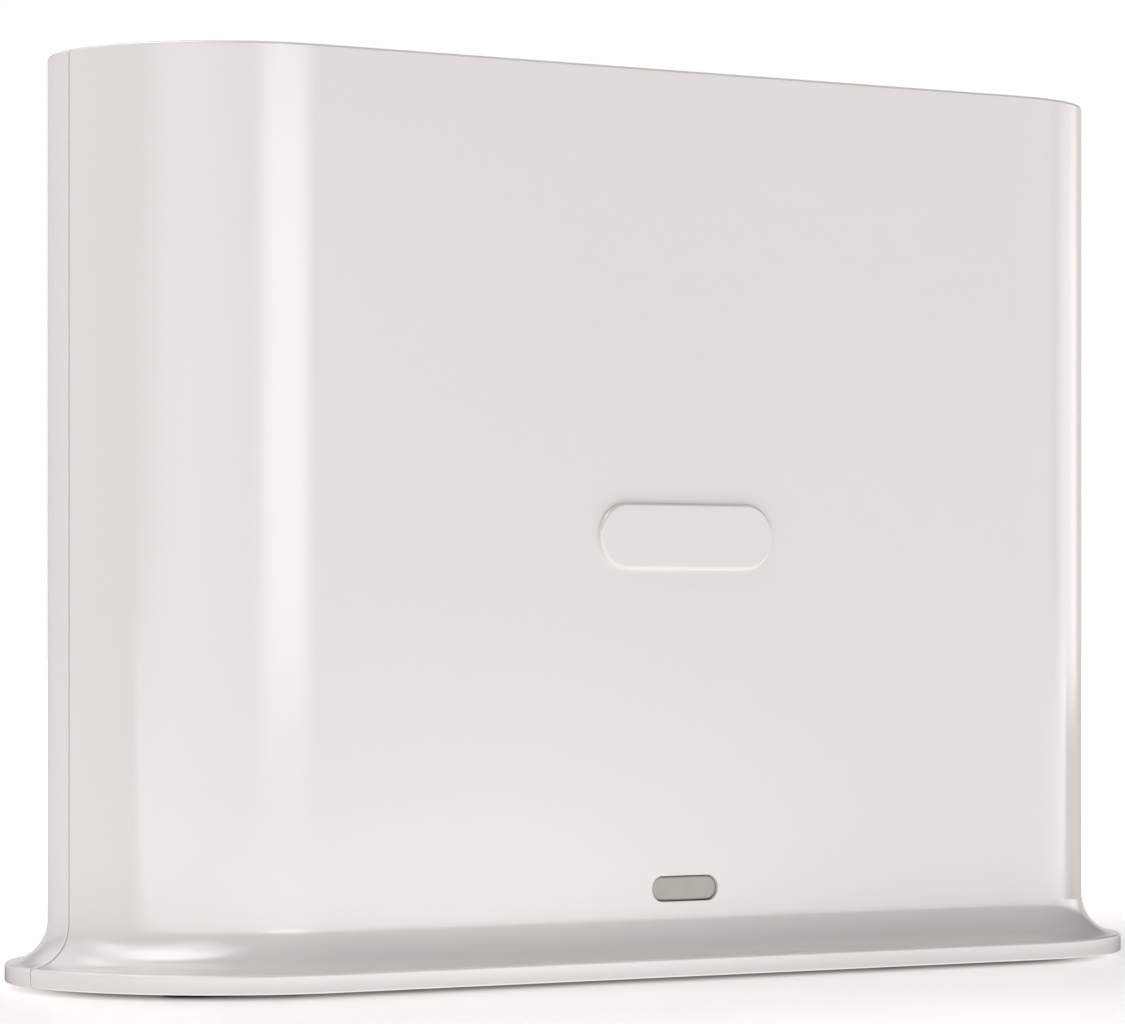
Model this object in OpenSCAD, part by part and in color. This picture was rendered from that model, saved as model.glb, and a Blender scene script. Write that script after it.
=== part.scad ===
// Security camera base station: an upright obround casing in two halves on a flared foot.
// Millimetres, Z up, front towards -Y, origin in the middle of the footprint on the resting surface.

/* [Casing] */
// Overall width across the foot
casing_w = 174.5; // [168:0.5:196]
// Overall depth across the foot
casing_d = 58.5; // [56:0.5:64]
// Height from the resting surface to the top face
casing_h = 123; // [119:0.5:140]
// Thickness of the moulded walls
wall = 2; // [1.8:0.1:2.4]
// How far the foot spreads beyond the upright walls
foot_flare = 5.65; // [5.2:0.05:6.2]
// Height of the upright rim round the foot
rim_h = 2.55; // [2.4:0.05:3]
// Thickness of the rim where it wraps the base plate
rim_wall = 2; // [1.6:0.1:2.4]
// Rounding of the upper edge of the rim
rim_edge_r = 0.4; // [0.2:0.05:0.6]
// Rounding of the top edge
top_edge_r = 0.6; // [0.3:0.1:1]
// Gap that shows between the front and rear covers
seam_gap = 0.2; // [0.1:0.05:0.3]
// Thickness of the lip that closes the seam from inside
lip_t = 0.9; // [0.7:0.1:1]
// Length of the lip past the seam
lip_len = 1.6; // [1.2:0.1:2]
// Clearance round fixed pieces that fit together
fit = 0.1; // [0.05:0.05:0.15]
// Clearance round pieces that move
run_gap = 0.3; // [0.2:0.05:0.4]

/* [Snap hooks] */
// Distance of each hook from the middle
hook_x = 35; // [28:1:45]
// Width of a hook
hook_w = 8; // [6:0.5:12]
// Thickness of a hook's arm
hook_t = 1.2; // [1:0.1:1.6]
// Reach of a hook's root in front of the seam
hook_reach = 9; // [7:0.5:12]
// Length of the root that joins the top wall
hook_root = 4; // [3:0.5:6]
// Distance of the catch rib behind the seam
catch_y = 4; // [3.5:0.1:6]
// Depth of the catch rib below the top wall
catch_h = 1.6; // [1.4:0.1:2]
// Thickness of the catch rib and of the hook's nose
catch_t = 1.4; // [1.2:0.1:2]

/* [Base plate] */
// Height of the rim above the resting surface
foot_proud = 0.9; // [0.6:0.1:1.4]
// How far the plate sits up inside the rim
plate_inset = 0.15; // [0.1:0.05:0.3]
// Thickness of the plate
plate_t = 1.2; // [1:0.1:1.3]
// Distance of the screws from the middle, along the width
base_screw_x = 40; // [34:1:46]
// Distance of the screws in from the front and rear walls
base_screw_in = 5.1; // [4.8:0.1:6]
// Radius of the cup that sinks each screw
cup_r = 4; // [3.6:0.1:4.4]
// Thickness of the cup's floor under a screw head
cup_floor = 1.4; // [1.2:0.1:1.8]
// Length of the air slots
base_slot_l = 22; // [16:1:28]
// Width of the air slots
base_slot_w = 2.4; // [1.8:0.1:3]
// Spacing of the air slots
base_slot_pitch = 5; // [4:0.5:6]
// Number of air slots in each group
base_slot_n = 4; // [2:1:5]
// Gap between the two groups of air slots
base_slot_gap = 4.4; // [3:0.2:8]

/* [Feet] */
// Length of a rubber foot
foot_len = 20; // [14:1:24]
// Width of a rubber foot
foot_w = 8; // [6:0.5:9]
// Depth of the recess that holds a foot
foot_sink = 0.6; // [0.4:0.1:0.8]
// Distance of the feet outside the straight run of the casing
foot_out = 6; // [3:0.5:8]
// Distance of the feet from the middle, along the depth
foot_y = 12; // [8:0.5:14]

/* [Screws] */
// Radius of a screw's shank
screw_r = 1.1; // [0.9:0.05:1.3]
// Radius of a screw's head
screw_head_r = 2.5; // [2.2:0.1:2.8]
// Height of a screw's head
screw_head_h = 1.6; // [1.4:0.1:1.8]
// Width of the cross recess in a head
screw_slot_w = 0.7; // [0.5:0.1:0.9]
// Depth of the cross recess in a head
screw_slot_h = 0.8; // [0.5:0.1:1]
// Radius of the bosses that take the screws
boss_r = 3.2; // [2.8:0.1:3.6]
// Height of the base bosses
boss_h = 10; // [9:0.5:12]
// Thickness of the web that ties a base boss to the wall
boss_web = 3; // [2:0.2:4]
// Length of the base screws under the head
base_screw_l = 8; // [6:0.5:9]
// Length of the board screws under the head
board_screw_l = 8; // [6:0.5:10]
// Length of the siren screws under the head
siren_screw_l = 6; // [5:0.5:6.5]

/* [Status light] */
// Width of the window in the front cover
window_w = 10.9; // [9:0.1:12]
// Height of the window in the front cover
window_h = 3.45; // [3:0.05:4]
// Height of the window's middle
window_z = 12.4; // [12:0.1:16]
// How far the window sits behind the front face
window_recess = 0.4; // [0.2:0.1:0.8]
// Overhang of the flange behind the wall
window_lip = 1.3; // [1:0.1:1.6]
// Thickness of the flange behind the wall
window_flange_t = 1; // [0.8:0.1:1.4]
// Thickness of the light guide's head
pipe_head_t = 2.6; // [2:0.1:3.5]
// Width of the light guide's stem
pipe_w = 9; // [7:0.1:10]
// Height of the light guide's stem
pipe_h = 2.6; // [2:0.1:3]
// Wall of the sleeve that holds the light guide
sleeve_wall = 1.6; // [1.2:0.1:2]
// Width of the light-emitting diode
led_w = 3.2; // [2.8:0.1:3.6]
// Height of the light-emitting diode
led_h = 1.6; // [1.2:0.1:2]
// Thickness of the light-emitting diode
led_t = 1.6; // [1:0.1:2]

/* [Badge] */
// Length of the blank badge
badge_w = 28.4; // [22:0.2:34]
// Height of the blank badge
badge_h = 8.8; // [6:0.2:11]
// How far the badge stands proud
badge_t = 0.6; // [0.4:0.1:1]
// Height of the badge's middle
badge_z = 60; // [50:1:80]
// Distance of the badge's pegs from the middle
badge_peg_x = 9; // [6:0.5:11]
// Radius of the badge's pegs
badge_peg_r = 1; // [0.8:0.1:1.3]

/* [Main board] */
// How far the board reaches past the straight run of the casing
board_over = 8; // [5:0.5:10]
// Height of the board
board_h = 92; // [88:0.5:94]
// Thickness of the board
board_t = 1.6; // [1.2:0.1:2]
// Height of the board's lower edge
board_z = 7.5; // [7:0.1:8.5]
// Distance of the mounting holes from the board's edges
board_hole_in = 6; // [5:0.5:7]
// Width of the processor
cpu_w = 17; // [14:0.5:20]
// Thickness of the processor
cpu_t = 1.2; // [1:0.1:1.6]
// Place of the processor across the board
cpu_x = 18; // [14:1:22]
// Height of the processor's middle
cpu_z = 60; // [56:1:64]
// Thickness of the thermal pad
pad_t = 1; // [0.5:0.1:1.5]
// Width of the heat sink
sink_w = 52; // [44:1:54]
// Height of the heat sink
sink_h = 48; // [40:1:52]
// Thickness of the heat sink's base
sink_base = 2.5; // [2:0.1:3]
// Height of the heat sink's fins
fin_h = 9; // [6:0.5:11]
// Thickness of a fin
fin_t = 1.2; // [1:0.1:1.6]
// Number of fins
fin_n = 9; // [6:1:11]
// Width of the radio shield
shield_w = 32; // [26:1:34]
// Height of the radio shield
shield_h = 28; // [22:1:34]
// Depth of the radio shield
shield_d = 3; // [2.5:0.1:4]
// Thickness of the shield's sheet
shield_t = 0.3; // [0.2:0.05:0.4]
// Place of the radio shield across the board
shield_x = -36; // [-42:1:-34]
// Width of a memory chip
chip_w = 9; // [8:0.5:10]
// Height of a memory chip
chip_h = 12; // [10:0.5:14]
// Thickness of a memory chip
chip_t = 1.1; // [0.8:0.1:1.4]
// Distance of the memory chips from the board's side
chip_in = 11; // [9:0.5:14]
// Spacing of the memory chips
chip_pitch = 17; // [15:1:20]
// Radius of the capacitors
cap_r = 4; // [3:0.1:5]
// Height of the capacitors
cap_h = 9.5; // [8:0.5:12]
// Distance of the capacitors from the middle
cap_x = 36; // [32:1:40]
// Spacing of the capacitors
cap_pitch = 12; // [10.5:0.5:14]
// Width of the power coils
coil_w = 7; // [6:0.5:8]
// Depth of the power coils
coil_d = 4; // [3:0.5:5]
// Spacing of the power coils
coil_pitch = 10; // [9:0.5:12]
// Width of the network transformer
trafo_w = 16; // [14:0.5:18]
// Height of the network transformer
trafo_h = 9; // [8:0.5:10]
// Depth of the network transformer
trafo_d = 6; // [4:0.5:7]
// Height of the row that holds the transformer, coils and plugs
row_z = 46; // [45:0.5:47]

/* [Port bay] */
// Width of the bay in the rear cover
bay_w = 104; // [102:1:106]
// Height of the bay
bay_h = 21; // [19:0.5:23]
// Height of the bay's middle
bay_z = 25; // [24.5:0.5:28]
// Depth of the bay
bay_depth = 3; // [2.5:0.1:4]
// Corner radius of the bay
bay_r = 3.5; // [2:0.5:5]
// Gap round each socket
port_gap = 0.3; // [0.2:0.05:0.5]
// How far the sockets sit behind the bay's floor
port_inset = 0.2; // [0.1:0.1:0.6]
// Height of the sockets off the board
socket_l = 16.8; // [15.5:0.1:17.5]

/* [Network socket] */
// Place of the network socket
eth_x = -8; // [-11:0.5:-4]
// Width of the network socket
eth_w = 16; // [15.6:0.1:16.8]
// Height of the network socket
eth_h = 13.6; // [13.4:0.1:14.4]
// Thickness of the socket's metal skin
eth_skin = 0.3; // [0.2:0.05:0.4]
// Width of the plug opening
jack_w = 11.8; // [11.7:0.1:12.2]
// Height of the plug opening
jack_h = 6.8; // [6.6:0.1:7]
// Depth of the plug opening
jack_d = 13; // [11:0.5:14]
// Width of the latch slot
latch_w = 6.2; // [6:0.1:6.6]
// Height of the latch slot
latch_h = 1.8; // [1.5:0.1:2]
// Width of the latch's inner key
key_w = 3.4; // [3.2:0.1:4]
// Height of the latch's inner key
key_h = 1; // [0.8:0.1:1.2]
// Height of the plug opening's roof above the socket's middle
jack_roof = 4.2; // [4:0.1:4.4]
// Number of contacts
jack_n = 8; // [8:1:8]
// Spacing of the contacts
jack_pitch = 1.02; // [1:0.01:1.1]
// Width of a contact
jack_wire = 0.4; // [0.3:0.05:0.5]
// Drop of the contacts at their inner ends
jack_drop = 1.8; // [1.4:0.1:1.9]
// How far the contacts sit behind the socket's mouth
jack_lead = 1.6; // [1:0.1:2.5]
// Length of the contacts that runs along the roof
jack_flat = 2.7; // [2:0.1:4]
// Width of a socket lamp
lamp_w = 3; // [2.5:0.1:3.4]
// Height of a socket lamp
lamp_h = 1.5; // [1.2:0.1:1.6]
// Depth of a socket lamp
lamp_d = 3; // [2:0.5:4]
// Distance of the lamps from the socket's middle
lamp_x = 5.2; // [4:0.1:5.4]

/* [Data sockets] */
// Place of the first data socket
usb_x = 14; // [12:0.5:16]
// Spacing of the two data sockets
usb_pitch = 12; // [10:0.5:14]
// Width of a data socket
usb_w = 5.8; // [5.6:0.1:6]
// Height of a data socket
usb_h = 13.2; // [13:0.1:13.6]
// Thickness of the shell's sheet
usb_skin = 0.3; // [0.25:0.05:0.35]
// Thickness of the tongue
tongue_t = 1.9; // [1.8:0.05:2]
// Width of the tongue
tongue_h = 11.2; // [10.8:0.1:11.6]
// Gap behind the tongue
tongue_back = 1.1; // [0.9:0.1:1.3]
// How far the tongue sits behind the socket's mouth
tongue_in = 1; // [0.6:0.1:1.5]
// Depth of the block that carries the tongue
tongue_base = 5.4; // [4:0.1:6]
// Length of the contacts
usb_wire_l = 8; // [6:0.5:9]
// Width of the contacts
usb_wire_w = 1.1; // [0.9:0.1:1.3]
// Thickness of the contacts
usb_wire_t = 0.2; // [0.15:0.05:0.3]
// Spacing of the contacts
usb_wire_pitch = 2.4; // [2:0.1:2.6]

/* [Power socket] */
// Place of the power socket
dc_x = -44; // [-45:0.5:-42]
// Width of the power socket's body
dc_w = 9; // [8:0.5:10]
// Height of the power socket's body
dc_h = 11; // [10:0.5:13]
// Radius of the power socket's barrel
dc_barrel_r = 4.3; // [4:0.1:4.5]
// Length of the barrel
dc_barrel_l = 6; // [4:0.5:8]
// Radius of the plug's bore
dc_bore_r = 2.8; // [2.7:0.05:3]
// Depth of the plug's bore
dc_bore_d = 9.5; // [9:0.5:11]
// Radius of the centre pin
dc_pin_r = 1; // [0.8:0.05:1.25]
// How far the pin's tip sits behind the mouth
dc_pin_in = 0.8; // [0.5:0.1:1.5]
// Width of the spring that touches the plug's sleeve
dc_spring_w = 1.8; // [1.4:0.1:2.2]
// Thickness of that spring
dc_spring_t = 0.4; // [0.3:0.05:0.5]
// Length of that spring
dc_spring_l = 6; // [4:0.5:7]

/* [Power button] */
// Place of the power button
power_x = -29; // [-31:0.5:-27]
// Radius of the power button
power_r = 4.2; // [3.6:0.1:4.6]
// How far the power button stands proud of the bay's floor
power_proud = 1.8; // [1.6:0.1:2.4]
// Travel of the power button
power_travel = 1.5; // [1:0.1:1.5]
// Overhang of the flange that keeps the button in
power_lip = 1; // [0.8:0.1:1.4]
// Thickness of that flange
power_flange_t = 1.2; // [1:0.1:1.6]
// Width of the switch body
power_switch_w = 8.4; // [8:0.1:9]
// Depth of the switch body
power_switch_d = 8; // [7:0.1:8.4]
// Width of the switch's square shaft
power_shaft_w = 3; // [2.6:0.1:3.4]
// Length of the shaft inside the switch
power_shaft_in = 3.5; // [3:0.1:4]
// Length of the shaft outside the switch
power_shaft_out = 4; // [3.5:0.1:4.5]
// Depth of the button's socket on the shaft
power_socket_d = 2; // [1.5:0.1:2.2]

/* [Reset switch] */
// Place of the reset switch
reset_x = 42; // [38:0.5:46]
// Radius of the pin hole
reset_hole_r = 0.9; // [0.7:0.05:1.2]
// Width of the reset switch
reset_w = 6; // [5:0.1:7]
// Depth of the reset switch's body
reset_d = 3.5; // [3:0.1:4]
// Radius of the reset plunger
reset_r = 1.7; // [1.4:0.1:2]
// Length of the plunger inside the switch
reset_in = 1.6; // [1.4:0.1:1.8]
// Gap between the plunger and the bay's floor
reset_gap = 1.2; // [0.8:0.1:2]
// Travel of the reset plunger
reset_travel = 0.3; // [0.2:0.05:0.4]

/* [Sync button] */
// Length of the sync button
sync_w = 16; // [12:0.5:20]
// Depth of the sync button
sync_d = 6; // [5:0.2:6.4]
// How far the sync button stands proud of the top
sync_proud = 0.4; // [0.2:0.1:0.8]
// Overhang of the flange that keeps the button in
sync_lip = 1.2; // [0.8:0.1:1.4]
// Thickness of that flange
sync_flange_t = 1.2; // [1:0.1:1.6]
// Radius of the button's stem
sync_stem_r = 1.6; // [1.3:0.1:1.8]
// Travel of the sync button
sync_travel = 0.6; // [0.3:0.05:0.8]
// Width of the sync switch
sync_switch_w = 6.4; // [6:0.1:7]
// Depth of the sync switch
sync_switch_d = 6.6; // [6:0.1:7]
// Height of the sync switch
sync_switch_h = 5; // [4.5:0.1:5.5]
// Radius of the sync switch's plunger
sync_plunger_r = 1.7; // [1.4:0.1:2]
// Length of the plunger inside the switch
sync_plunger_in = 2; // [1.6:0.1:2.4]
// Length of the plunger outside the switch
sync_plunger_out = 2.4; // [1.8:0.1:3]
// Thickness of the stem's guide
guide_t = 2; // [1.6:0.1:2.4]
// Width of the stem's guide
guide_w = 14; // [10:0.5:18]
// Reach of the guide in front of the stem
guide_reach = 3.2; // [2.4:0.1:4]

/* [Siren] */
// Height of the siren's middle
siren_z = 73; // [72:0.5:75]
// Radius of the siren's housing
siren_r = 18; // [17:0.1:19]
// Depth of the siren with its back
siren_d = 13; // [12:0.1:13.5]
// Wall of the siren's housing
siren_wall = 1.5; // [1.2:0.1:2]
// Width of the step that carries the disc
siren_step = 2; // [1.5:0.1:2.5]
// Thickness of the housing's front
siren_front_t = 2; // [1.5:0.1:2.5]
// Radius of the siren's mouth
siren_mouth_r = 12; // [10:0.5:13]
// Thickness of the siren's back
siren_back_t = 1.5; // [1.2:0.1:2]
// Length of the back's spigot
siren_spigot = 3.5; // [3:0.1:4]
// Thickness of the sounding disc
siren_disc_t = 0.5; // [0.3:0.1:0.8]
// Thickness of the gasket
gasket_t = 1.5; // [1:0.1:2]
// Width of the gasket's ring
gasket_w = 3.5; // [2.5:0.1:4]
// Distance of the screw ears outside the housing
ear_out = 3.6; // [3.2:0.1:4.2]
// Thickness of an ear
ear_t = 2; // [1.6:0.1:2.4]
// Distance of the ears behind the siren's front
ear_in = 4; // [3.5:0.1:5]
// Thickness of the cloth behind the grille
cloth_t = 0.3; // [0.2:0.1:0.6]
// Radius of the grille's holes
grille_r = 1.1; // [0.8:0.05:1.3]
// Spacing of the grille's rings
grille_pitch = 3.6; // [3:0.1:3.8]
// Number of rings in the grille
grille_n = 3; // [2:1:3]
// Width of the siren's plug
siren_plug_w = 7; // [6:0.5:8]
// Depth of the siren's plug
siren_plug_d = 4.6; // [4:0.1:5]
// Height of the siren's plug
siren_plug_h = 5; // [4:0.5:6]
// Place of the siren's plug
siren_plug_x = 24; // [22:1:26]
// Radius of the siren's lead
siren_lead_r = 0.9; // [0.7:0.1:1.2]
// Distance of the lead's start to the right of the siren's middle
lead_out = 13; // [12.5:0.1:13.5]
// Distance of the lead's start behind the board
lead_lift = 6.4; // [6.2:0.1:6.6]
// Distance of the lead's start below the siren's middle
lead_drop = 12.7; // [12.5:0.1:13]
// Length of one step in the routes of the lead and the antenna cables
lead_unit = 1; // [0.95:0.01:1.05]

/* [Vents] */
// Width of a vent slot
vent_w = 2; // [1.5:0.1:2.4]
// Height of a vent slot
vent_h = 30; // [20:1:36]
// Spacing of the vent slots
vent_pitch = 4.5; // [3.5:0.1:4.6]
// Number of vent slots on each side
vent_n = 6; // [3:1:6]
// Distance of the innermost slot from the middle
vent_x = 30.5; // [29:0.5:31]

/* [Antennas] */
// Distance of an antenna's rear edge from the end wall
ant_gap = 1.95; // [1.2:0.05:3]
// Height of the antennas' lower ends
ant_z = 44; // [42:0.5:46]
// Length of an antenna
ant_h = 56; // [50:1:60]
// Width of an antenna
ant_w = 10; // [8:0.5:11]
// Thickness of an antenna
ant_t = 1; // [0.8:0.1:1.4]
// Distance of an antenna's edge behind the middle plane
ant_y = 4; // [3.5:0.1:4.5]
// Thickness of the ribs that hold an antenna
rib_t = 1.6; // [1.2:0.1:2]
// Distance of the ribs from the antenna's ends
rib_in = 3; // [2:0.5:4]
// Reach of the ribs inside the antenna
rib_reach = 3; // [2:0.5:4]
// Radius of a coax plug
coax_r = 1.6; // [1.3:0.1:1.8]
// Height of a coax plug
coax_h = 2.2; // [1.8:0.1:2.6]
// Length of a coax plug's crimp
coax_crimp_l = 4.2; // [3.5:0.1:5]
// Radius of a coax plug's crimp
coax_crimp_r = 0.8; // [0.7:0.05:0.9]
// Distance of the coax plugs from the board's sides
coax_in = 12; // [11:0.5:13]
// Height of the coax plugs
coax_z = 53; // [52:0.5:56]
// Radius of an antenna cable
coax_cable_r = 0.65; // [0.5:0.05:0.8]
// Height above the plug at which a cable's end is soldered to its antenna
ant_tap = 15; // [14:0.5:17]

/* [Hidden] */
$fn = 64;
tube_sides = 8;
rim_r = casing_d / 2;
wall_r = rim_r - foot_flare;
inner_r = wall_r - wall;
spine = (casing_w - casing_d) / 2;
rim_top = foot_proud + rim_h;
flare_z = rim_top + foot_flare;
rim_corner_z = flare_z - sqrt(foot_flare * foot_flare - rim_edge_r * rim_edge_r);
top_in = casing_h - wall;
plate_z = foot_proud + plate_inset;
ledge_z = plate_z + plate_t;
head_seat_z = plate_z + screw_head_h + fit;
cup_top = head_seat_z + cup_floor;
foot_t = plate_z + foot_sink;
foot_x = spine + foot_out;
base_screw_y = inner_r - base_screw_in;
base_slot_x = (base_slot_l + base_slot_gap) / 2;
bay_floor_y = wall_r - bay_depth;
bay_back_y = bay_floor_y - wall;
face_y = bay_floor_y - port_inset;
rear_y = face_y - socket_l;
front_y = rear_y - board_t;
board_w = 2 * (spine + board_over);
board_top = board_z + board_h;
board_hole_x = board_w / 2 - board_hole_in;
chip_x = board_w / 2 - chip_in;
flange_w = window_w + 2 * window_lip;
flange_h = window_h + 2 * window_lip;
pipe_y = window_flange_t - inner_r;
stem_y = pipe_y + pipe_head_t;
led_y = front_y - led_t;
hook_z = top_in - catch_h - fit;
nose_y = catch_y + catch_t + fit;
sync_y = rear_y + sync_switch_d / 2;
sync_flange_z = top_in - fit;
plunger_top = board_top + sync_plunger_out;
guide_z = (plunger_top + sync_flange_z - sync_flange_t - guide_t) / 2;
power_front_y = bay_floor_y + power_proud;
power_flange_y = bay_back_y - fit;
power_switch_y = rear_y + power_switch_d;
shaft_end_y = power_switch_y + power_shaft_out;
power_cap_y = shaft_end_y - power_socket_d;
reset_y = rear_y + reset_d;
dc_spring_y = face_y - dc_bore_d;
gasket_y = inner_r - gasket_t;
siren_y = gasket_y - siren_d;
siren_cup_y = siren_y + siren_back_t;
disc_y = siren_cup_y + siren_spigot;
siren_bore_r = siren_r - siren_wall;
siren_throat_r = siren_bore_r - siren_step;
ear_x = siren_r + ear_out;
ear_y = gasket_y - ear_in;
jack_floor = jack_roof - jack_h;
insert_w = eth_w - 2 * eth_skin - 2 * fit;
insert_h = eth_h - 2 * eth_skin - 2 * fit;
lamp_z = (jack_roof + insert_h / 2) / 2;
usb_in_w = usb_w - 2 * usb_skin;
usb_in_h = usb_h - 2 * usb_skin;
tongue_x = tongue_back - usb_in_w / 2;
usb_wire_x = tongue_x + tongue_t + usb_wire_t / 2;
ant_back = ant_y + ant_w;
ant_x = spine + sqrt(inner_r * inner_r - ant_back * ant_back) - ant_gap - ant_t / 2;
coax_x = board_w / 2 - coax_in;
coax_y = rear_y + coax_h / 2;
rib_z = [ant_z + rib_in, ant_z + ant_h - rib_in - rib_t];
base_screws_at = [for (sx = [-1, 1], sy = [-1, 1]) [sx * base_screw_x, sy * base_screw_y]];
board_screws_at = [for (sx = [-1, 1], z = [board_z + board_hole_in, board_top - board_hole_in])
    [sx * board_hole_x, z]];
siren_screws_at = [[-ear_x, siren_z], [ear_x, siren_z]];
usb_at = [usb_x, usb_x + usb_pitch];
// A direction that no lead runs along, from which the rings of a lead are turned
lead_side = [0.3, 1, 0.2];
// Route of the right antenna's cable: points from its plug, then points to its end on the antenna
cable_start = [coax_x + coax_crimp_l, coax_y, coax_z];
cable_end = [ant_x - ant_t / 2 - coax_cable_r - fit / 2, ant_y + ant_w / 2, coax_z + ant_tap];
cable_route = concat(
    [for (p = [[0, 0, 0], [2.3, 0, 0], [4.8, 0.4, 0.3]]) cable_start + lead_unit * p],
    [for (p = [[-5.4, -2.8, -13.6], [-3.4, -1.5, -11.8], [-1.8, -0.5, -9.4], [-0.7, 0, -6.6],
        [-0.05, 0, -3.6], [0, 0, 0]]) cable_end + lead_unit * p]);
// Route of the siren's lead: points from the housing's side, then points to its plug
lead_start = [lead_out, rear_y + lead_lift, siren_z - lead_drop];
lead_end = [siren_plug_x, rear_y + siren_plug_d / 2, row_z + siren_plug_h / 2];
lead_route = concat(
    [for (p = [[0, 0, 0], [1.6, -0.1, -1.9], [3.8, -0.7, -3.7], [6.4, -1.8, -5]])
        lead_start + lead_unit * p],
    [for (p = [[-2, 1, 5.8], [-0.5, 0.2, 4.1], [0, 0, 2.1], [0, 0, 0]]) lead_end + lead_unit * p]);

// Flat shapes, drawn with the long side along X

module obround(l, w) {
    square([l - w, w], center = true);
    for (s = [-1, 1])
        translate([s * (l - w) / 2, 0])
            circle(d = w);
}

module rounded_rect(w, h, r) {
    square([w - 2 * r, h], center = true);
    square([w, h - 2 * r], center = true);
    for (sx = [-1, 1], sy = [-1, 1])
        translate([sx * (w / 2 - r), sy * (h / 2 - r)])
            circle(r = r);
}

// Waste outside a rounded corner at the upper right of a profile
module corner_waste(x, z, r) {
    translate([x - r, z - r])
        difference() {
            square(2 * r);
            circle(r = r);
        }
}

// A shape drawn across and up, standing between two depths
module upright(y0, y1, x = 0, z = 0) {
    translate([x, y1, z])
        rotate([90, 0, 0])
            linear_extrude(height = y1 - y0)
                children();
}

module block(x, z, w, h, y0, y1) {
    upright(y0, y1, x, z)
        square([w, h], center = true);
}

module rod(x, z, r, y0, y1) {
    translate([x, y1, z])
        rotate([90, 0, 0])
            cylinder(r = r, h = y1 - y0);
}

// A pan-head screw along Z with its head below z = 0
module screw(l) {
    cylinder(r = screw_r, h = l);
    difference() {
        translate([0, 0, -screw_head_h])
            cylinder(r = screw_head_r, h = screw_head_h);
        for (turn = [0, 90])
            rotate(turn)
                translate([0, 0, -screw_head_h])
                    cube([2 * (screw_head_r - screw_slot_w), screw_slot_w, 2 * screw_slot_h], center = true);
    }
}

// A round lead swept along a list of points
function unit(v) = v / norm(v);
function heading(path, i) = unit(path[min(i + 1, len(path) - 1)] - path[max(i - 1, 0)]);
function ring(path, i, r) =
    let (t = heading(path, i), u = unit(cross(t, lead_side)), v = cross(u, t))
    [for (k = [0 : tube_sides - 1])
        path[i] + r * (cos(360 * k / tube_sides) * u + sin(360 * k / tube_sides) * v)];

module lead(path, r) {
    n = len(path);
    s = tube_sides;
    sides = [for (i = [0 : n - 2], k = [0 : s - 1])
        let (a = i * s + k, b = i * s + (k + 1) % s)
        each [[a, a + s, b], [b, a + s, b + s]]];
    first = [for (k = [1 : s - 2]) [0, k, k + 1]];
    last = [for (k = [1 : s - 2]) [(n - 1) * s, (n - 1) * s + k + 1, (n - 1) * s + k]];
    polyhedron(points = [for (i = [0 : n - 1]) each ring(path, i, r)], faces = concat(sides, first, last));
}

// Casing profile: distance from the spine across, height up, moved in from the outer skin

module casing_profile(inset = 0) {
    difference() {
        translate([0, foot_proud])
            square([rim_r, casing_h - inset - foot_proud]);
        translate([wall_r - inset, flare_z])
            square([rim_r, casing_h]);
        translate([rim_r, flare_z])
            circle(r = foot_flare + inset);
    }
}

module above(z) {
    intersection() {
        children();
        translate([0, z])
            square([rim_r, casing_h]);
    }
}

module shell_profile() {
    difference() {
        casing_profile();
        corner_waste(rim_r, rim_corner_z, rim_edge_r);
        corner_waste(wall_r, casing_h, top_edge_r);
        above(ledge_z)
            casing_profile(wall);
        square([rim_r - rim_wall, ledge_z]);
    }
}

// A profile carried round half of the obround plan: side 1 is the rear half, side -1 the front half
module swept_half(side) {
    rotate(side > 0 ? 0 : 180) {
        translate([-spine, 0, 0])
            rotate([90, 0, 90])
                linear_extrude(height = 2 * spine)
                    children();
        translate([spine, 0, 0])
            rotate_extrude(angle = 90)
                children();
        translate([-spine, 0, 0])
            rotate(90)
                rotate_extrude(angle = 90)
                    children();
    }
}

module slab(y0, y1) {
    translate([-casing_w, y0, 0])
        cube([2 * casing_w, y1 - y0, 2 * casing_h]);
}

module cover_shell(side) {
    difference() {
        swept_half(side)
            shell_profile();
        slab(-seam_gap / 2, seam_gap / 2);
    }
}

// The core keeps inner ribs and bosses from reaching the outer skin
module cover_core(side) {
    intersection() {
        swept_half(side)
            casing_profile(wall / 2);
        union()
            children();
    }
}

module base_boss(at) {
    side = sign(at[1]);
    translate([at[0], at[1], cup_top])
        cylinder(r = boss_r, h = boss_h);
    translate([at[0] - boss_web / 2, side > 0 ? at[1] : -rim_r, cup_top])
        cube([boss_web, rim_r - abs(at[1]), boss_h]);
}

module base_boss_hole(at) {
    translate([at[0], at[1], 0])
        cylinder(r = screw_r + fit / 2, h = head_seat_z + base_screw_l + fit);
}

module front_cover() {
    color("#e4e1dd")
        difference() {
            union() {
                cover_shell(-1);
                seam_lip();
                for (s = [-1, 1])
                    snap_hook(s * hook_x);
                cover_core(-1) {
                    upright(-wall_r, stem_y, 0, window_z)
                        obround(flange_w + 2 * sleeve_wall, flange_h + 2 * sleeve_wall);
                    for (at = base_screws_at)
                        if (at[1] < 0)
                            base_boss(at);
                }
            }
            upright(-2 * wall_r, stem_y, 0, window_z)
                obround(window_w, window_h);
            upright(-inner_r, stem_y + fit, 0, window_z)
                obround(flange_w + 2 * fit, flange_h + 2 * fit);
            for (s = [-1, 1])
                rod(s * badge_peg_x, badge_z, badge_peg_r + fit, -2 * wall_r, 0);
            sync_opening();
            for (at = base_screws_at)
                base_boss_hole(at);
        }
}

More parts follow.
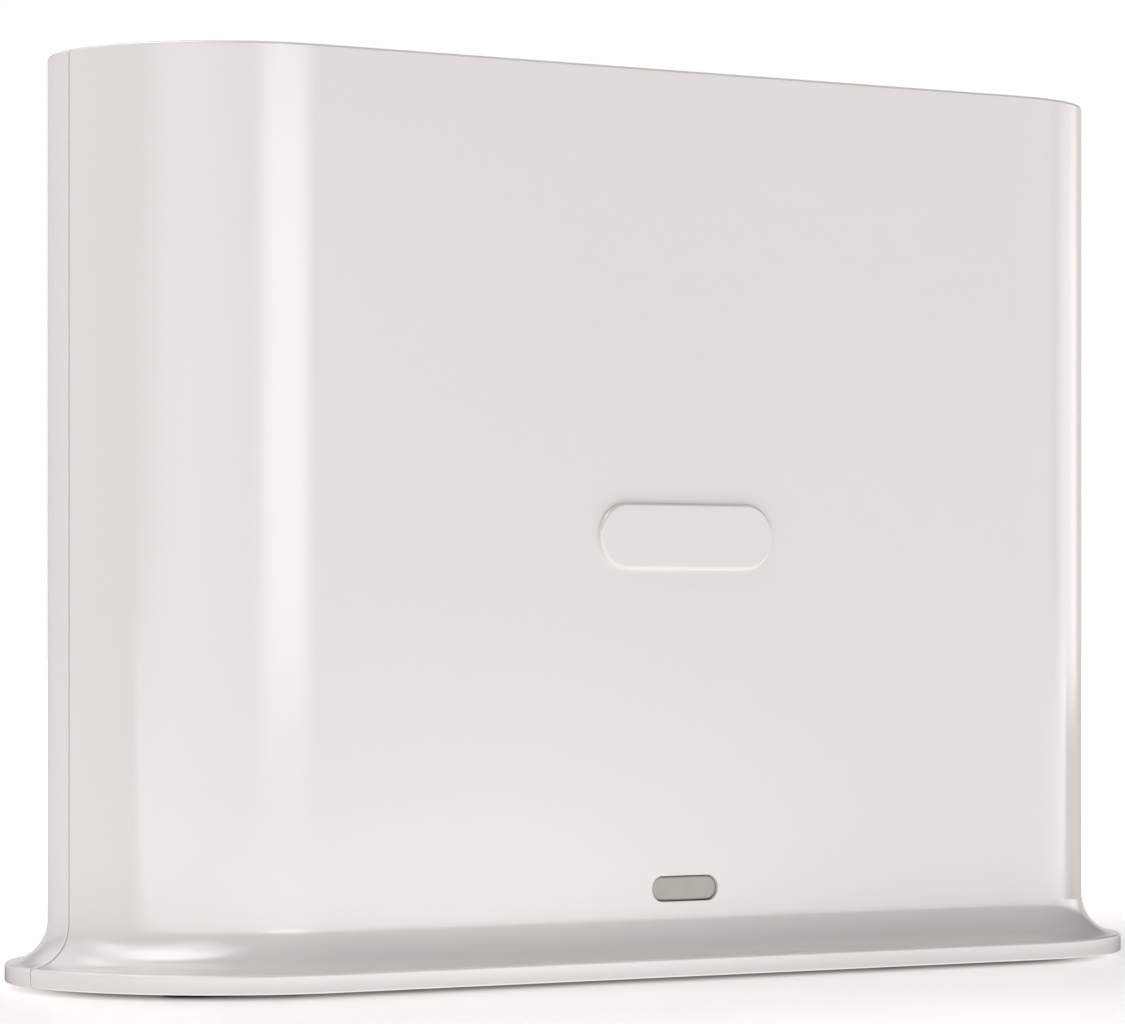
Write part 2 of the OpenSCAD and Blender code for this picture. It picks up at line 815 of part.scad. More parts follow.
// A lip on the front cover's edge, which sits behind the rear cover's edge
module seam_lip() {
    intersection() {
        union()
            for (side = [-1, 1])
                swept_half(side)
                    difference() {
                        above(rim_top)
                            casing_profile(wall - lip_t);
                        casing_profile(wall);
                    }
        slab(-seam_gap / 2, lip_len);
    }
}

module snap_hook(x) {
    translate([x - hook_w / 2, 0, hook_z]) {
        translate([0, -hook_reach, -hook_t])
            cube([hook_w, hook_reach + nose_y + catch_t, hook_t]);
        translate([0, -hook_reach, -hook_t])
            cube([hook_w, hook_root, hook_t + fit + catch_h + wall / 2]);
        translate([0, nose_y, -hook_t])
            cube([hook_w, catch_t, hook_t + catch_h - fit]);
    }
}

module rear_cover() {
    color("#e4e1dd")
        difference() {
            union() {
                difference() {
                    cover_shell(1);
                    seam_rebate();
                }
                cover_core(1)
                    rear_inside();
            }
            upright(bay_floor_y, 2 * wall_r, 0, bay_z)
                rounded_rect(bay_w, bay_h, bay_r);
            port_openings();
            rear_openings();
            for (at = base_screws_at)
                base_boss_hole(at);
            for (at = board_screws_at)
                rod(at[0], at[1], screw_r + fit / 2, 0, front_y + board_screw_l + fit);
            for (at = siren_screws_at)
                rod(at[0], at[1], screw_r + fit / 2, 0, ear_y - ear_t + siren_screw_l + fit);
        }
}

module seam_rebate() {
    intersection() {
        swept_half(1)
            above(rim_top)
                casing_profile(wall - lip_t - fit);
        slab(-seam_gap, lip_len + fit);
    }
}

// Posts, ribs, guide and port bay behind the rear cover's skin
module rear_inside() {
    upright(bay_back_y, wall_r, 0, bay_z)
        rounded_rect(bay_w + 2 * wall, bay_h + 2 * wall, bay_r + wall);
    for (at = board_screws_at)
        rod(at[0], at[1], boss_r, rear_y, wall_r);
    for (at = siren_screws_at)
        rod(at[0], at[1], boss_r, ear_y, wall_r);
    for (at = base_screws_at)
        if (at[1] > 0)
            base_boss(at);
    for (s = [-1, 1])
        translate([s * hook_x - hook_w / 2, catch_y, top_in - catch_h])
            cube([hook_w, catch_t, catch_h + wall]);
    for (s = [-1, 1], z = rib_z)
        antenna_rib(s, z);
    stem_guide();
}

module antenna_rib(s, z) {
    difference() {
        translate([s > 0 ? ant_x - rib_reach : -casing_w / 2, ant_y, z])
            cube([casing_w / 2 - ant_x + rib_reach, rim_r, rib_t]);
        translate([s * ant_x - ant_t / 2 - fit, 0, z - rib_t])
            cube([ant_t + 2 * fit, ant_back + fit, 3 * rib_t]);
    }
}

// A shelf with an open slot that keeps the sync button's stem upright
module stem_guide() {
    difference() {
        translate([-guide_w / 2, sync_y - guide_reach, guide_z])
            cube([guide_w, rim_r, guide_t]);
        translate([0, sync_y, guide_z - guide_t])
            cylinder(r = sync_stem_r + run_gap, h = 3 * guide_t);
        translate([-sync_stem_r - run_gap, sync_y - rim_r, guide_z - guide_t])
            cube([2 * (sync_stem_r + run_gap), rim_r, 3 * guide_t]);
    }
}

module port_openings() {
    y0 = bay_back_y - wall;
    y1 = bay_floor_y + wall;
    block(eth_x, bay_z, eth_w + 2 * port_gap, eth_h + 2 * port_gap, y0, y1);
    for (x = usb_at)
        block(x, bay_z, usb_w + 2 * port_gap, usb_h + 2 * port_gap, y0, y1);
    rod(dc_x, bay_z, dc_barrel_r + port_gap, y0, y1);
    rod(power_x, bay_z, power_r + run_gap, y0, y1);
    rod(reset_x, bay_z, reset_hole_r, y0, y1);
}

module rear_openings() {
    y0 = inner_r - wall;
    y1 = wall_r + wall;
    rod(0, siren_z, grille_r, y0, y1);
    for (k = [1 : grille_n], i = [1 : 6 * k]) {
        at = k * grille_pitch * [cos(60 * i / k), sin(60 * i / k)];
        rod(at[0], siren_z + at[1], grille_r, y0, y1);
    }
    for (s = [-1, 1], i = [0 : vent_n - 1])
        upright(y0, y1, s * (vent_x + i * vent_pitch), siren_z)
            rotate(90)
                obround(vent_h, vent_w);
    sync_opening();
}

module sync_opening() {
    translate([0, sync_y, sync_flange_z])
        linear_extrude(height = 2 * wall)
            obround(sync_w + 2 * run_gap, sync_d + 2 * run_gap);
}

module base_plate() {
    color("#d8d5d1")
        difference() {
            union() {
                translate([0, 0, plate_z])
                    linear_extrude(height = plate_t)
                        obround(2 * (spine + rim_r - rim_wall - fit), 2 * (rim_r - rim_wall - fit));
                for (at = base_screws_at)
                    translate([at[0], at[1], plate_z])
                        cylinder(r = cup_r, h = cup_top - plate_z);
            }
            for (at = base_screws_at)
                translate([at[0], at[1], 0]) {
                    cylinder(r = screw_head_r + fit, h = head_seat_z);
                    cylinder(r = screw_r + fit, h = casing_h);
                }
            for (sx = [-1, 1], sy = [-1, 1])
                translate([sx * foot_x, sy * foot_y, 0])
                    linear_extrude(height = foot_t)
                        obround(foot_len + 2 * fit, foot_w + 2 * fit);
            for (s = [-1, 1], i = [0 : base_slot_n - 1])
                translate([s * base_slot_x, (i - (base_slot_n - 1) / 2) * base_slot_pitch, 0])
                    linear_extrude(height = casing_h)
                        obround(base_slot_l, base_slot_w);
        }
}

module rubber_feet() {
    color("#3b3b3d")
        for (sx = [-1, 1], sy = [-1, 1])
            translate([sx * foot_x, sy * foot_y, 0])
                linear_extrude(height = foot_t)
                    obround(foot_len, foot_w);
}

module base_screws() {
    color("silver")
        for (at = base_screws_at)
            translate([at[0], at[1], head_seat_z])
                screw(base_screw_l);
}

module badge() {
    color("#f0eeea") {
        upright(-wall_r - badge_t, -wall_r, 0, badge_z)
            obround(badge_w, badge_h);
        for (s = [-1, 1])
            rod(s * badge_peg_x, badge_z, badge_peg_r, -wall_r - badge_t / 2, -inner_r);
    }
}

module light_window() {
    color("#b0aaa0") {
        upright(window_recess - wall_r, -inner_r, 0, window_z)
            obround(window_w - 2 * fit, window_h - 2 * fit);
        upright(-inner_r, pipe_y, 0, window_z)
            obround(flange_w, flange_h);
    }
}

module light_guide() {
    color("#e8eef0") {
        upright(pipe_y, stem_y, 0, window_z)
            obround(flange_w, flange_h);
        upright(stem_y, led_y - run_gap, 0, window_z)
            obround(pipe_w, pipe_h);
    }
}

module status_led() {
    color("#f4f0d8")
        block(0, window_z, led_w, led_h, led_y, front_y);
}

module sync_button() {
    color("#e4e1dd")
        translate([0, sync_y, 0]) {
            translate([0, 0, sync_flange_z])
                linear_extrude(height = casing_h + sync_proud - sync_flange_z)
                    obround(sync_w, sync_d);
            translate([0, 0, sync_flange_z - sync_flange_t])
                linear_extrude(height = sync_flange_t)
                    obround(sync_w + 2 * sync_lip, sync_d + 2 * sync_lip);
            translate([0, 0, plunger_top])
                cylinder(r = sync_stem_r, h = sync_flange_z - plunger_top);
        }
}

module sync_switch() {
    color("#2b2b2d")
        difference() {
            block(0, board_top - sync_switch_h / 2, sync_switch_w, sync_switch_h, rear_y,
                rear_y + sync_switch_d);
            translate([0, sync_y, board_top - sync_plunger_in - sync_travel - run_gap])
                cylinder(r = sync_plunger_r + run_gap / 2, h = board_top);
        }
}

module sync_plunger() {
    color("#c9c6bf")
        translate([0, sync_y, board_top - sync_plunger_in])
            cylinder(r = sync_plunger_r, h = sync_plunger_in + sync_plunger_out);
}

module power_button() {
    color("#cfccc8")
        difference() {
            union() {
                rod(power_x, bay_z, power_r, power_cap_y, power_front_y);
                rod(power_x, bay_z, power_r + power_lip, power_flange_y - power_flange_t, power_flange_y);
            }
            block(power_x, bay_z, power_shaft_w + fit, power_shaft_w + fit, 0, shaft_end_y);
        }
}

module power_switch() {
    hole_w = power_shaft_w + 2 * run_gap;
    color("#2b2b2d")
        difference() {
            block(power_x, bay_z, power_switch_w, power_switch_w, rear_y, power_switch_y);
            block(power_x, bay_z, hole_w, hole_w, power_switch_y - power_shaft_in - power_travel - run_gap,
                face_y);
        }
}

module power_shaft() {
    color("#e9e6df")
        block(power_x, bay_z, power_shaft_w, power_shaft_w, power_switch_y - power_shaft_in, shaft_end_y);
}

module reset_switch() {
    color("#2b2b2d")
        difference() {
            block(reset_x, bay_z, reset_w, reset_w, rear_y, reset_y);
            rod(reset_x, bay_z, reset_r + run_gap / 2, reset_y - reset_in - reset_travel - run_gap, face_y);
        }
}

module reset_plunger() {
    color("#c9c6bf")
        rod(reset_x, bay_z, reset_r, reset_y - reset_in, bay_back_y - reset_gap);
}

module main_board() {
    color("#2f5d3a")
        difference() {
            block(0, board_z + board_h / 2, board_w, board_h, front_y, rear_y);
            for (at = board_screws_at)
                rod(at[0], at[1], screw_r + run_gap, -inner_r, inner_r);
        }
}

module board_screws() {
    color("silver")
        for (at = board_screws_at)
            translate([at[0], front_y, at[1]])
                rotate([-90, 0, 0])
                    screw(board_screw_l);
}

module processor() {
    color("#202124")
        block(cpu_x, cpu_z, cpu_w, cpu_w, front_y - cpu_t, front_y);
}

module thermal_pad() {
    color("#9aa7b4")
        block(cpu_x, cpu_z, cpu_w, cpu_w, front_y - cpu_t - pad_t, front_y - cpu_t);
}

module heat_sink() {
    base_y = front_y - cpu_t - pad_t;
    color("#b9bcc0") {
        block(cpu_x, cpu_z, sink_w, sink_h, base_y - sink_base, base_y);
        for (i = [0 : fin_n - 1])
            block(cpu_x + (i / (fin_n - 1) - 0.5) * (sink_w - fin_t), cpu_z, fin_t, sink_h,
                base_y - sink_base - fin_h, base_y - sink_base);
    }
}

module radio_shield() {
    color("#c8cacd")
        difference() {
            block(shield_x, cpu_z, shield_w, shield_h, front_y - shield_d, front_y);
            block(shield_x, cpu_z, shield_w - 2 * shield_t, shield_h - 2 * shield_t,
                front_y - shield_d + shield_t, rear_y);
        }
}

module memory_chips() {
    color("#202124")
        for (s = [-1, 1])
            block(chip_x, cpu_z + s * chip_pitch / 2, chip_w, chip_h, front_y - chip_t, front_y);
}

module capacitors() {
    color("#33363c")
        for (sx = [-1, 1], sz = [-1, 1])
            rod(sx * cap_x, siren_z + sz * cap_pitch / 2, cap_r, rear_y, rear_y + cap_h);
}

module power_coils() {
    color("#4a4b4f")
        for (i = [0, 1])
            block(dc_x + i * coil_pitch, row_z, coil_w, coil_w, rear_y, rear_y + coil_d);
}

module network_transformer() {
    color("#202124")
        block(eth_x, row_z, trafo_w, trafo_h, rear_y, rear_y + trafo_d);
}

module network_shell() {
    color("#c3c5c8")
        difference() {
            block(eth_x, bay_z, eth_w, eth_h, rear_y, face_y);
            block(eth_x, bay_z, eth_w - 2 * eth_skin, eth_h - 2 * eth_skin, 0, wall_r);
        }
}

module network_insert() {
    mouth = face_y + fit;
    bottom = face_y - jack_d;
    color("#232326")
        difference() {
            block(eth_x, bay_z, insert_w, insert_h, rear_y, face_y);
            block(eth_x, bay_z + jack_roof - jack_h / 2, jack_w, jack_h, bottom, mouth);
            block(eth_x, bay_z + jack_floor - latch_h / 2, latch_w, latch_h, bottom, mouth);
            block(eth_x, bay_z + jack_floor - latch_h - key_h / 2, key_w, key_h, bottom, mouth);
            for (s = [-1, 1])
                block(eth_x + s * lamp_x, bay_z + lamp_z, lamp_w, lamp_h, face_y - lamp_d, mouth);
        }
}

// Spring wires that run along the roof of the plug opening and slant down inside
module network_contacts() {
    start = face_y - jack_lead;
    knee = start - jack_flat;
    tip = face_y - jack_d + jack_wire;
    color("#d0a848")
        for (i = [0 : jack_n - 1])
            translate([eth_x + (i - (jack_n - 1) / 2) * jack_pitch - jack_wire / 2, 0, bay_z + jack_roof])
                rotate([90, 0, 90])
                    linear_extrude(height = jack_wire)
                        polygon([[start, 0], [start, -jack_wire], [knee, -jack_wire],
                            [tip, -jack_drop - jack_wire], [tip, -jack_drop], [knee, 0]]);
}

module network_lamps() {
    color("#b9c77a")
        for (s = [-1, 1])
            block(eth_x + s * lamp_x, bay_z + lamp_z, lamp_w, lamp_h, face_y - lamp_d, face_y);
}

module usb_shells() {
    color("#c8cacd")
        for (x = usb_at)
            difference() {
                block(x, bay_z, usb_w, usb_h, rear_y, face_y);
                block(x, bay_z, usb_in_w, usb_in_h, 0, wall_r);
            }
}

module usb_tongues() {
    color("#232326")
        for (x = usb_at) {
            block(x, bay_z, usb_in_w - 2 * fit, usb_in_h - 2 * fit, rear_y, rear_y + tongue_base);
            block(x + tongue_x + tongue_t / 2, bay_z, tongue_t, tongue_h, rear_y + tongue_base,
                face_y - tongue_in);
        }
}

module usb_contacts() {
    color("#d0a848")
        for (x = usb_at, i = [-1.5 : 1.5])
            block(x + usb_wire_x, bay_z + i * usb_wire_pitch, usb_wire_t, usb_wire_w,
                rear_y + tongue_base, rear_y + tongue_base + usb_wire_l);
}

module power_socket() {
    color("#232326")
        difference() {
            union() {
                block(dc_x, bay_z, dc_w, dc_h, rear_y, face_y - dc_barrel_l);
                rod(dc_x, bay_z, dc_barrel_r, face_y - dc_barrel_l, face_y);
            }
            rod(dc_x, bay_z, dc_bore_r, face_y - dc_bore_d, wall_r);
            block(dc_x, bay_z - dc_bore_r, dc_spring_w, 2 * dc_spring_t, dc_spring_y,
                dc_spring_y + dc_spring_l);
        }
}

// A flat spring let into the bore's lower side
module power_socket_spring() {
    color("#c8b27a")
        block(dc_x, bay_z - dc_bore_r - dc_spring_t / 2, dc_spring_w, dc_spring_t, dc_spring_y,
            dc_spring_y + dc_spring_l);
}

module power_socket_pin() {
    color("#c8b27a")
        rod(dc_x, bay_z, dc_pin_r, face_y - dc_bore_d, face_y - dc_pin_in);
}

module siren_housing() {
    color("#37393c")
        difference() {
            union() {
                rod(0, siren_z, siren_r, siren_cup_y, gasket_y);
                for (s = [-1, 1]) {
                    rod(s * ear_x, siren_z, boss_r, ear_y - ear_t, ear_y);
                    block(s * (ear_x + siren_throat_r) / 2, siren_z, ear_x - siren_throat_r, 2 * boss_r,
                        ear_y - ear_t, ear_y);
                }
            }
            rod(0, siren_z, siren_bore_r, 0, disc_y + siren_disc_t);
            rod(0, siren_z, siren_throat_r, 0, gasket_y - siren_front_t);
            rod(0, siren_z, siren_mouth_r, 0, wall_r);
            for (at = siren_screws_at)
                rod(at[0], at[1], screw_r + fit, 0, wall_r);
        }
}

module siren_back() {
    color("#37393c")
        difference() {
            union() {
                rod(0, siren_z, siren_r, siren_y, siren_cup_y);
                rod(0, siren_z, siren_bore_r - fit, siren_cup_y, disc_y);
            }
            rod(0, siren_z, siren_throat_r, siren_cup_y, wall_r);
        }
}

module siren_disc() {
    color("#c8a64a")
        rod(0, siren_z, siren_bore_r - fit, disc_y, disc_y + siren_disc_t);
}

module siren_gasket() {
    color("#2a2a2c")
        difference() {
            rod(0, siren_z, siren_r, gasket_y, inner_r);
            rod(0, siren_z, siren_r - gasket_w, 0, wall_r);
        }
}

module grille_cloth() {
    color("#202022")
        rod(0, siren_z, siren_r - gasket_w - fit, inner_r - cloth_t, inner_r);
}

module siren_screws() {
    color("silver")
        for (at = siren_screws_at)
            translate([at[0], ear_y - ear_t, at[1]])
                rotate([-90, 0, 0])
                    screw(siren_screw_l);
}

module siren_lead() {
    color("#a33a34")
        lead(lead_route, siren_lead_r);
}

module siren_plug() {
    color("#ece7da")
        block(siren_plug_x, row_z, siren_plug_w, siren_plug_h, rear_y, rear_y + siren_plug_d);
}

module antenna(s) {
    color("#2f5d3a")
        translate([s * ant_x - ant_t / 2, ant_y, ant_z])
            cube([ant_t, ant_w, ant_h]);
}

module left_antenna() {
    antenna(-1);
}

module right_antenna() {
    antenna(1);
}

module antenna_cable(s) {
    color("#4c4d50")
        lead(s > 0 ? cable_route : [for (i = [0 : len(cable_route) - 1])
            [-cable_route[i][0], cable_route[i][1], cable_route[i][2]]], coax_cable_r);
}

module left_antenna_cable() {
    antenna_cable(-1);
}

module right_antenna_cable() {
    antenna_cable(1);
}

module coax_plugs() {
    color("#cbb26a")
        for (s = [-1, 1]) {
            rod(s * coax_x, coax_z, coax_r, rear_y, rear_y + coax_h);
            translate([s * coax_x, coax_y, coax_z])
                rotate([0, s * 90, 0])
                    cylinder(r = coax_crimp_r, h = coax_crimp_l);
        }
}

front_cover();
rear_cover();
base_plate();
rubber_feet();
base_screws();
badge();
light_window();
light_guide();
status_led();
sync_button();
sync_switch();
sync_plunger();
power_button();
power_switch();
power_shaft();
reset_switch();
reset_plunger();
main_board();
board_screws();
processor();
thermal_pad();
heat_sink();
radio_shield();
memory_chips();
capacitors();
power_coils();
network_transformer();
network_shell();
network_insert();
network_contacts();
network_lamps();
usb_shells();
usb_tongues();
usb_contacts();
power_socket();
power_socket_pin();
power_socket_spring();
siren_housing();
siren_back();
siren_disc();
siren_gasket();
grille_cloth();
siren_screws();
siren_lead();
siren_plug();
left_antenna();
right_antenna();
left_antenna_cable();
right_antenna_cable();
coax_plugs();
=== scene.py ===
"""Security camera base station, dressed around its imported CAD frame. Metres, Z up, front towards -Y."""

import math

import bmesh
import bpy
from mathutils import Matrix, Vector


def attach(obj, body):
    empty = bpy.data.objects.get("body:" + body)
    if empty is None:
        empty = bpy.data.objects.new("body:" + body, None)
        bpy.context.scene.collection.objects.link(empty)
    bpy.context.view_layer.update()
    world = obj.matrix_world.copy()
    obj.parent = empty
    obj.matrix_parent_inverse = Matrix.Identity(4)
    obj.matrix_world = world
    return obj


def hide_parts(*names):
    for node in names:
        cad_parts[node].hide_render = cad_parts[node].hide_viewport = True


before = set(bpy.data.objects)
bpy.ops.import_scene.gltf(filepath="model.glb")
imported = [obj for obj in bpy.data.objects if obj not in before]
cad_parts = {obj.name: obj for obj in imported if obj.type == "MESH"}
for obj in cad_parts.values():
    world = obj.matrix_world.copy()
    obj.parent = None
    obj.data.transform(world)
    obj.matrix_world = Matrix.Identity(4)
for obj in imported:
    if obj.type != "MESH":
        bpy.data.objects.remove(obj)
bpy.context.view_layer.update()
bpy.ops.object.select_all(action="DESELECT")
mm = 0.001

# Camera
# A long lens, level and low, to the left of the front. Its place, turn and framing come from a
# perspective fit of the casing's outline in the photograph, taken as 1125 x 1024 pixels.
photo_w, photo_h = 1125, 1024
lens_px, centre_px, horizon_px = 5041.29, 543.892, 625.833
camera_at, camera_turn = Vector((-392.433, -581.796, 47.898)) * mm, -33.499
film_w, sight = 36, 20
scene = bpy.context.scene
optics = bpy.data.cameras.new("photo_camera")
optics.sensor_width = film_w
optics.lens = film_w * lens_px / photo_w
optics.shift_x = (photo_w / 2 - centre_px) / photo_w
optics.shift_y = (horizon_px - photo_h / 2) / photo_w
optics.clip_end = sight
camera = bpy.data.objects.new("photo_camera", optics)
camera.location = camera_at
camera.rotation_euler = (math.radians(90), 0, math.radians(camera_turn))
scene.collection.objects.link(camera)
scene.camera = camera

# Casing halves
# The front and rear covers are mouldings of one closed section, carried along the flat front and
# round the half-round ends: rim, flared foot, upright wall, top. The halves meet at the middle
# plane with a fine gap, and snap and screw together.


def mms(*lengths):
    """Lengths given in millimetres, in metres."""
    return [length * mm for length in lengths]


spine, rim_r, wall_r, inner_r = mms(58, 29.25, 23.6, 21.6)
rim_wall, rim_low, ledge_z = mms(2, 0.9, 2.25)
flare_r, flare_z = mms(5.65, 9.1)
casing_h, top_in = mms(123, 121)
rim_edge_r, top_edge_r, low_edge_r = mms(0.4, 0.35, 0.3)
seam_half, seam_edge = mms(0.1, 0.12)
end_steps, flare_steps, edge_steps = 40, 20, 5
close, cut_close = 1e-6, 1e-8
outward, upward = 0.05, 0.5


def edit(on=True):
    """Goes into edit mode, or out of it."""
    bpy.ops.object.mode_set(mode="EDIT" if on else "OBJECT")


def pick(kind, test):
    """Selects, in edit mode, the vertices, edges or faces that pass a test."""
    bpy.ops.mesh.select_mode(type=kind)
    bpy.ops.mesh.select_all(action="DESELECT")
    mesh = bmesh.from_edit_mesh(bpy.context.object.data)
    for item in {"VERT": mesh.verts, "EDGE": mesh.edges, "FACE": mesh.faces}[kind]:
        item.select_set(bool(test(item)))
    mesh.select_flush_mode()
    bmesh.update_edit_mesh(bpy.context.object.data)


def pick_all():
    """Selects the whole mesh, in edit mode."""
    bpy.ops.mesh.select_all(action="SELECT")


def pen_start(at):
    """Starts a drawn line: a small plane whose corners are merged to one point."""
    bpy.ops.mesh.primitive_plane_add(size=mm)
    edit()
    bpy.ops.mesh.select_mode(type="VERT")
    bpy.ops.mesh.merge(type="CENTER")
    bpy.ops.transform.translate(value=at)


def pen_line(to):
    """Draws a straight step from the line's end, which is the selected point."""
    mesh = bmesh.from_edit_mesh(bpy.context.object.data)
    end = next(v.co for v in mesh.verts if v.select)
    bpy.ops.mesh.extrude_vertices_move(TRANSFORM_OT_translate={"value": Vector(to) - end})


def pen_arc(centre, degrees, steps, axis=(-1, 0, 0)):
    """Draws an arc from the line's end. Spin turns against its axis, so that is given turned round."""
    bpy.ops.mesh.spin(steps=steps, angle=math.radians(degrees), center=centre, axis=axis)


def close_up():
    """Merges the doubled points that spins leave, and turns all faces outwards."""
    pick_all()
    bpy.ops.mesh.remove_doubles(threshold=close)
    bpy.ops.mesh.normals_make_consistent()


# The section is drawn where the straight run begins: lines to a point, and arcs round one
wall_t = wall_r - inner_r
rim_in = rim_r - rim_wall
rim_corner_z = flare_z - math.sqrt(flare_r ** 2 - rim_edge_r ** 2)
flare_turn = 90 - math.degrees(math.asin(rim_edge_r / flare_r))
inner_turn = math.degrees(math.asin((flare_z - ledge_z) / (flare_r + wall_t)))
pen_start((-spine, rim_in, rim_low))
for y, z, *arc in (
        (rim_r - low_edge_r, rim_low), (rim_r - low_edge_r, rim_low + low_edge_r, 90, edge_steps),
        (rim_r, rim_corner_z - rim_edge_r),
        (rim_r - rim_edge_r, rim_corner_z - rim_edge_r, 90, edge_steps),
        (rim_r, flare_z, -flare_turn, flare_steps), (wall_r, casing_h - top_edge_r),
        (wall_r - top_edge_r, casing_h - top_edge_r, 90, edge_steps), (0, casing_h), (0, top_in),
        (inner_r, top_in), (inner_r, flare_z), (rim_r, flare_z, inner_turn, flare_steps),
        (rim_in, ledge_z), (rim_in, rim_low)):
    if arc:
        pen_arc((-spine, y, z), *arc)
    else:
        pen_line((-spine, y, z))
close_up()
bpy.ops.mesh.extrude_edges_move(TRANSFORM_OT_translate={"value": (2 * spine, 0, 0)})
pen_arc((spine, 0, 0), 90, end_steps, axis=(0, 0, 1))
pick("VERT", lambda v: abs(v.co.x + spine) < close)
pen_arc((-spine, 0, 0), 90, end_steps, axis=(0, 0, -1))
close_up()
bpy.ops.mesh.bisect(
    plane_co=(0, seam_half, 0), plane_no=(0, 1, 0), use_fill=True, clear_inner=True, threshold=cut_close)
for level in (casing_h, top_in):
    pick("FACE", lambda f: all(abs(v.co.z - level) < close for v in f.verts))
    bpy.ops.mesh.dissolve_faces()


def outer_seam_edge(edge):
    """An edge where the cut through the middle plane meets the outer skin."""
    if any(abs(v.co.y - seam_half) > close for v in edge.verts):
        return False
    side = math.copysign(1, edge.verts[0].co.x + edge.verts[1].co.x)
    return any(f.normal.x * side > outward or f.normal.z > upward for f in edge.link_faces)


pick("EDGE", outer_seam_edge)
bpy.ops.mesh.bevel(offset=seam_edge, segments=2)
edit(False)
rear_cover = bpy.context.object
bpy.ops.object.duplicate()
front_cover = bpy.context.object
edit()
pick_all()
bpy.ops.transform.rotate(value=math.pi, orient_axis="Z", center_override=(0, 0, 0))
edit(False)

# Front cover
# The front half, polished and glossy, with an opening for the status light low in its flat face and two
# small holes for the badge's pegs. Inside are a lip that closes the seam, two bosses for the base's
# screws, a sleeve for the light guide, and two hooks that snap behind the rear cover's top.
window_w, window_h, window_z, window_edge = mms(10.9, 3.45, 12.4, 0.12)
peg_x, peg_z, peg_hole_r = mms(9, 60, 1.1)
skin_mid, tool_l = wall_r - wall_t / 2, 8 * mm
lip_t, lip_l, lip_gap, lip_low = mms(0.9, 1.6, 0.1, 3.45)
lip_steps = 6
screw_x, screw_y, screw_hole_r, screw_hole_top = mms(40, 16.5, 1.15, 10.85)
boss_r, boss_low, boss_h, boss_web = mms(3.2, 4.15, 10, 3)
sleeve_w, sleeve_h, sleeve_y, guide_gap = mms(16.7, 9.25, -18, 0.1)
lens_flange_w, lens_flange_h = mms(13.5, 6.05)
hook_x, hook_w, hook_t, hook_low = mms(35, 8, 1.2, 118.1)
hook_from, hook_root, hook_nose, hook_to = mms(-9, 4, 5.5, 6.9)
across, upwards = Vector((1, 0, 0)), Vector((0, 0, 1))
facing_y, facing_z = (math.pi / 2, 0, 0), (0, 0, 0)
aligned, aside = 0.99, 0.5
noise_low, noise_high = 0.3, 0.7


def select_only(*pieces):
    """Selects these objects alone, and makes the first one active."""
    bpy.ops.object.select_all(action="DESELECT")
    for piece in pieces:
        piece.select_set(True)
    bpy.context.view_layer.objects.active = pieces[0]


def rod(radius, deep, at, facing=facing_z, sides=32):
    """A round rod, with its turn put into its mesh and its middle at a place."""
    bpy.ops.mesh.primitive_cylinder_add(
        vertices=sides, radius=radius, depth=deep, location=at, rotation=facing)
    bpy.ops.object.transform_apply()
    return bpy.context.object


def stadium(long, wide, deep, at, facing=facing_z, along=across, sides=48):
    """A rod pulled apart at its middle, so that its ends stay half round."""
    bar = rod(wide / 2, deep, (0, 0, 0), facing, sides)
    edit()
    for way in (-1, 1):
        pick("VERT", lambda v: way * v.co.dot(along) > close)
        bpy.ops.transform.translate(value=along * way * (long - wide) / 2)
    pick_all()
    bpy.ops.transform.translate(value=at)
    edit(False)
    return bar


def joined(pieces):
    """Several objects as one."""
    select_only(*pieces)
    if len(pieces) > 1:
        bpy.ops.object.join()
    return bpy.context.object


def carve(piece, tools, operation="DIFFERENCE", crossing=False):
    """Cuts tools, crossing each other or not, out of a piece or joins them to it, and removes them."""
    tool = joined(tools)
    select_only(piece)
    cut = piece.modifiers.new("cut", "BOOLEAN")
    cut.operation = operation
    cut.solver = "EXACT"
    cut.use_self = crossing
    cut.object = tool
    bpy.ops.object.modifier_apply(modifier=cut.name)
    bpy.data.objects.remove(tool)


def soften(piece, test, width, steps=2):
    """Rounds the edges of a piece that pass a test."""
    select_only(piece)
    edit()
    pick("EDGE", test)
    bpy.ops.mesh.bevel(offset=width, segments=steps, clamp_overlap=True)
    edit(False)


def opening_edge(normal, level):
    """A test for the edges where an opening breaks a flat face at a level along a normal."""
    normal = Vector(normal)

    def test(edge):
        if any(abs(v.co.dot(normal) - level) > close for v in edge.verts):
            return False
        ways = sorted(f.normal.dot(normal) for f in edge.link_faces)
        return len(ways) == 2 and ways[0] < aside and ways[1] > aligned
    return test


def linear(hex_colour):
    """An sRGB hex colour as the linear values that a shader takes."""
    parts = [int(hex_colour[i:i + 2], 16) / 255 for i in (1, 3, 5)]
    return [c / 12.92 if c <= 0.04045 else ((c + 0.055) / 1.055) ** 2.4 for c in parts] + [1]


def add(finish, kind, inputs=(), **settings):
    """Adds a shader node with its settings, and values or links on its inputs, by name or in order. A
    node given for an input is linked by its first output."""
    node = finish.node_tree.nodes.new("ShaderNode" + kind)
    for key, value in settings.items():
        setattr(node, key, value)
    for key, value in inputs.items() if isinstance(inputs, dict) else enumerate(inputs):
        if isinstance(value, bpy.types.Node):
            value = value.outputs[0]
        if isinstance(value, bpy.types.NodeSocket):
            finish.node_tree.links.new(value, node.inputs[key])
        else:
            node.inputs[key].default_value = value
    return node


def blank(name):
    """A material with no nodes but its output."""
    finish = bpy.data.materials.new(name)
    finish.use_nodes = True
    finish.node_tree.nodes.clear()
    return finish


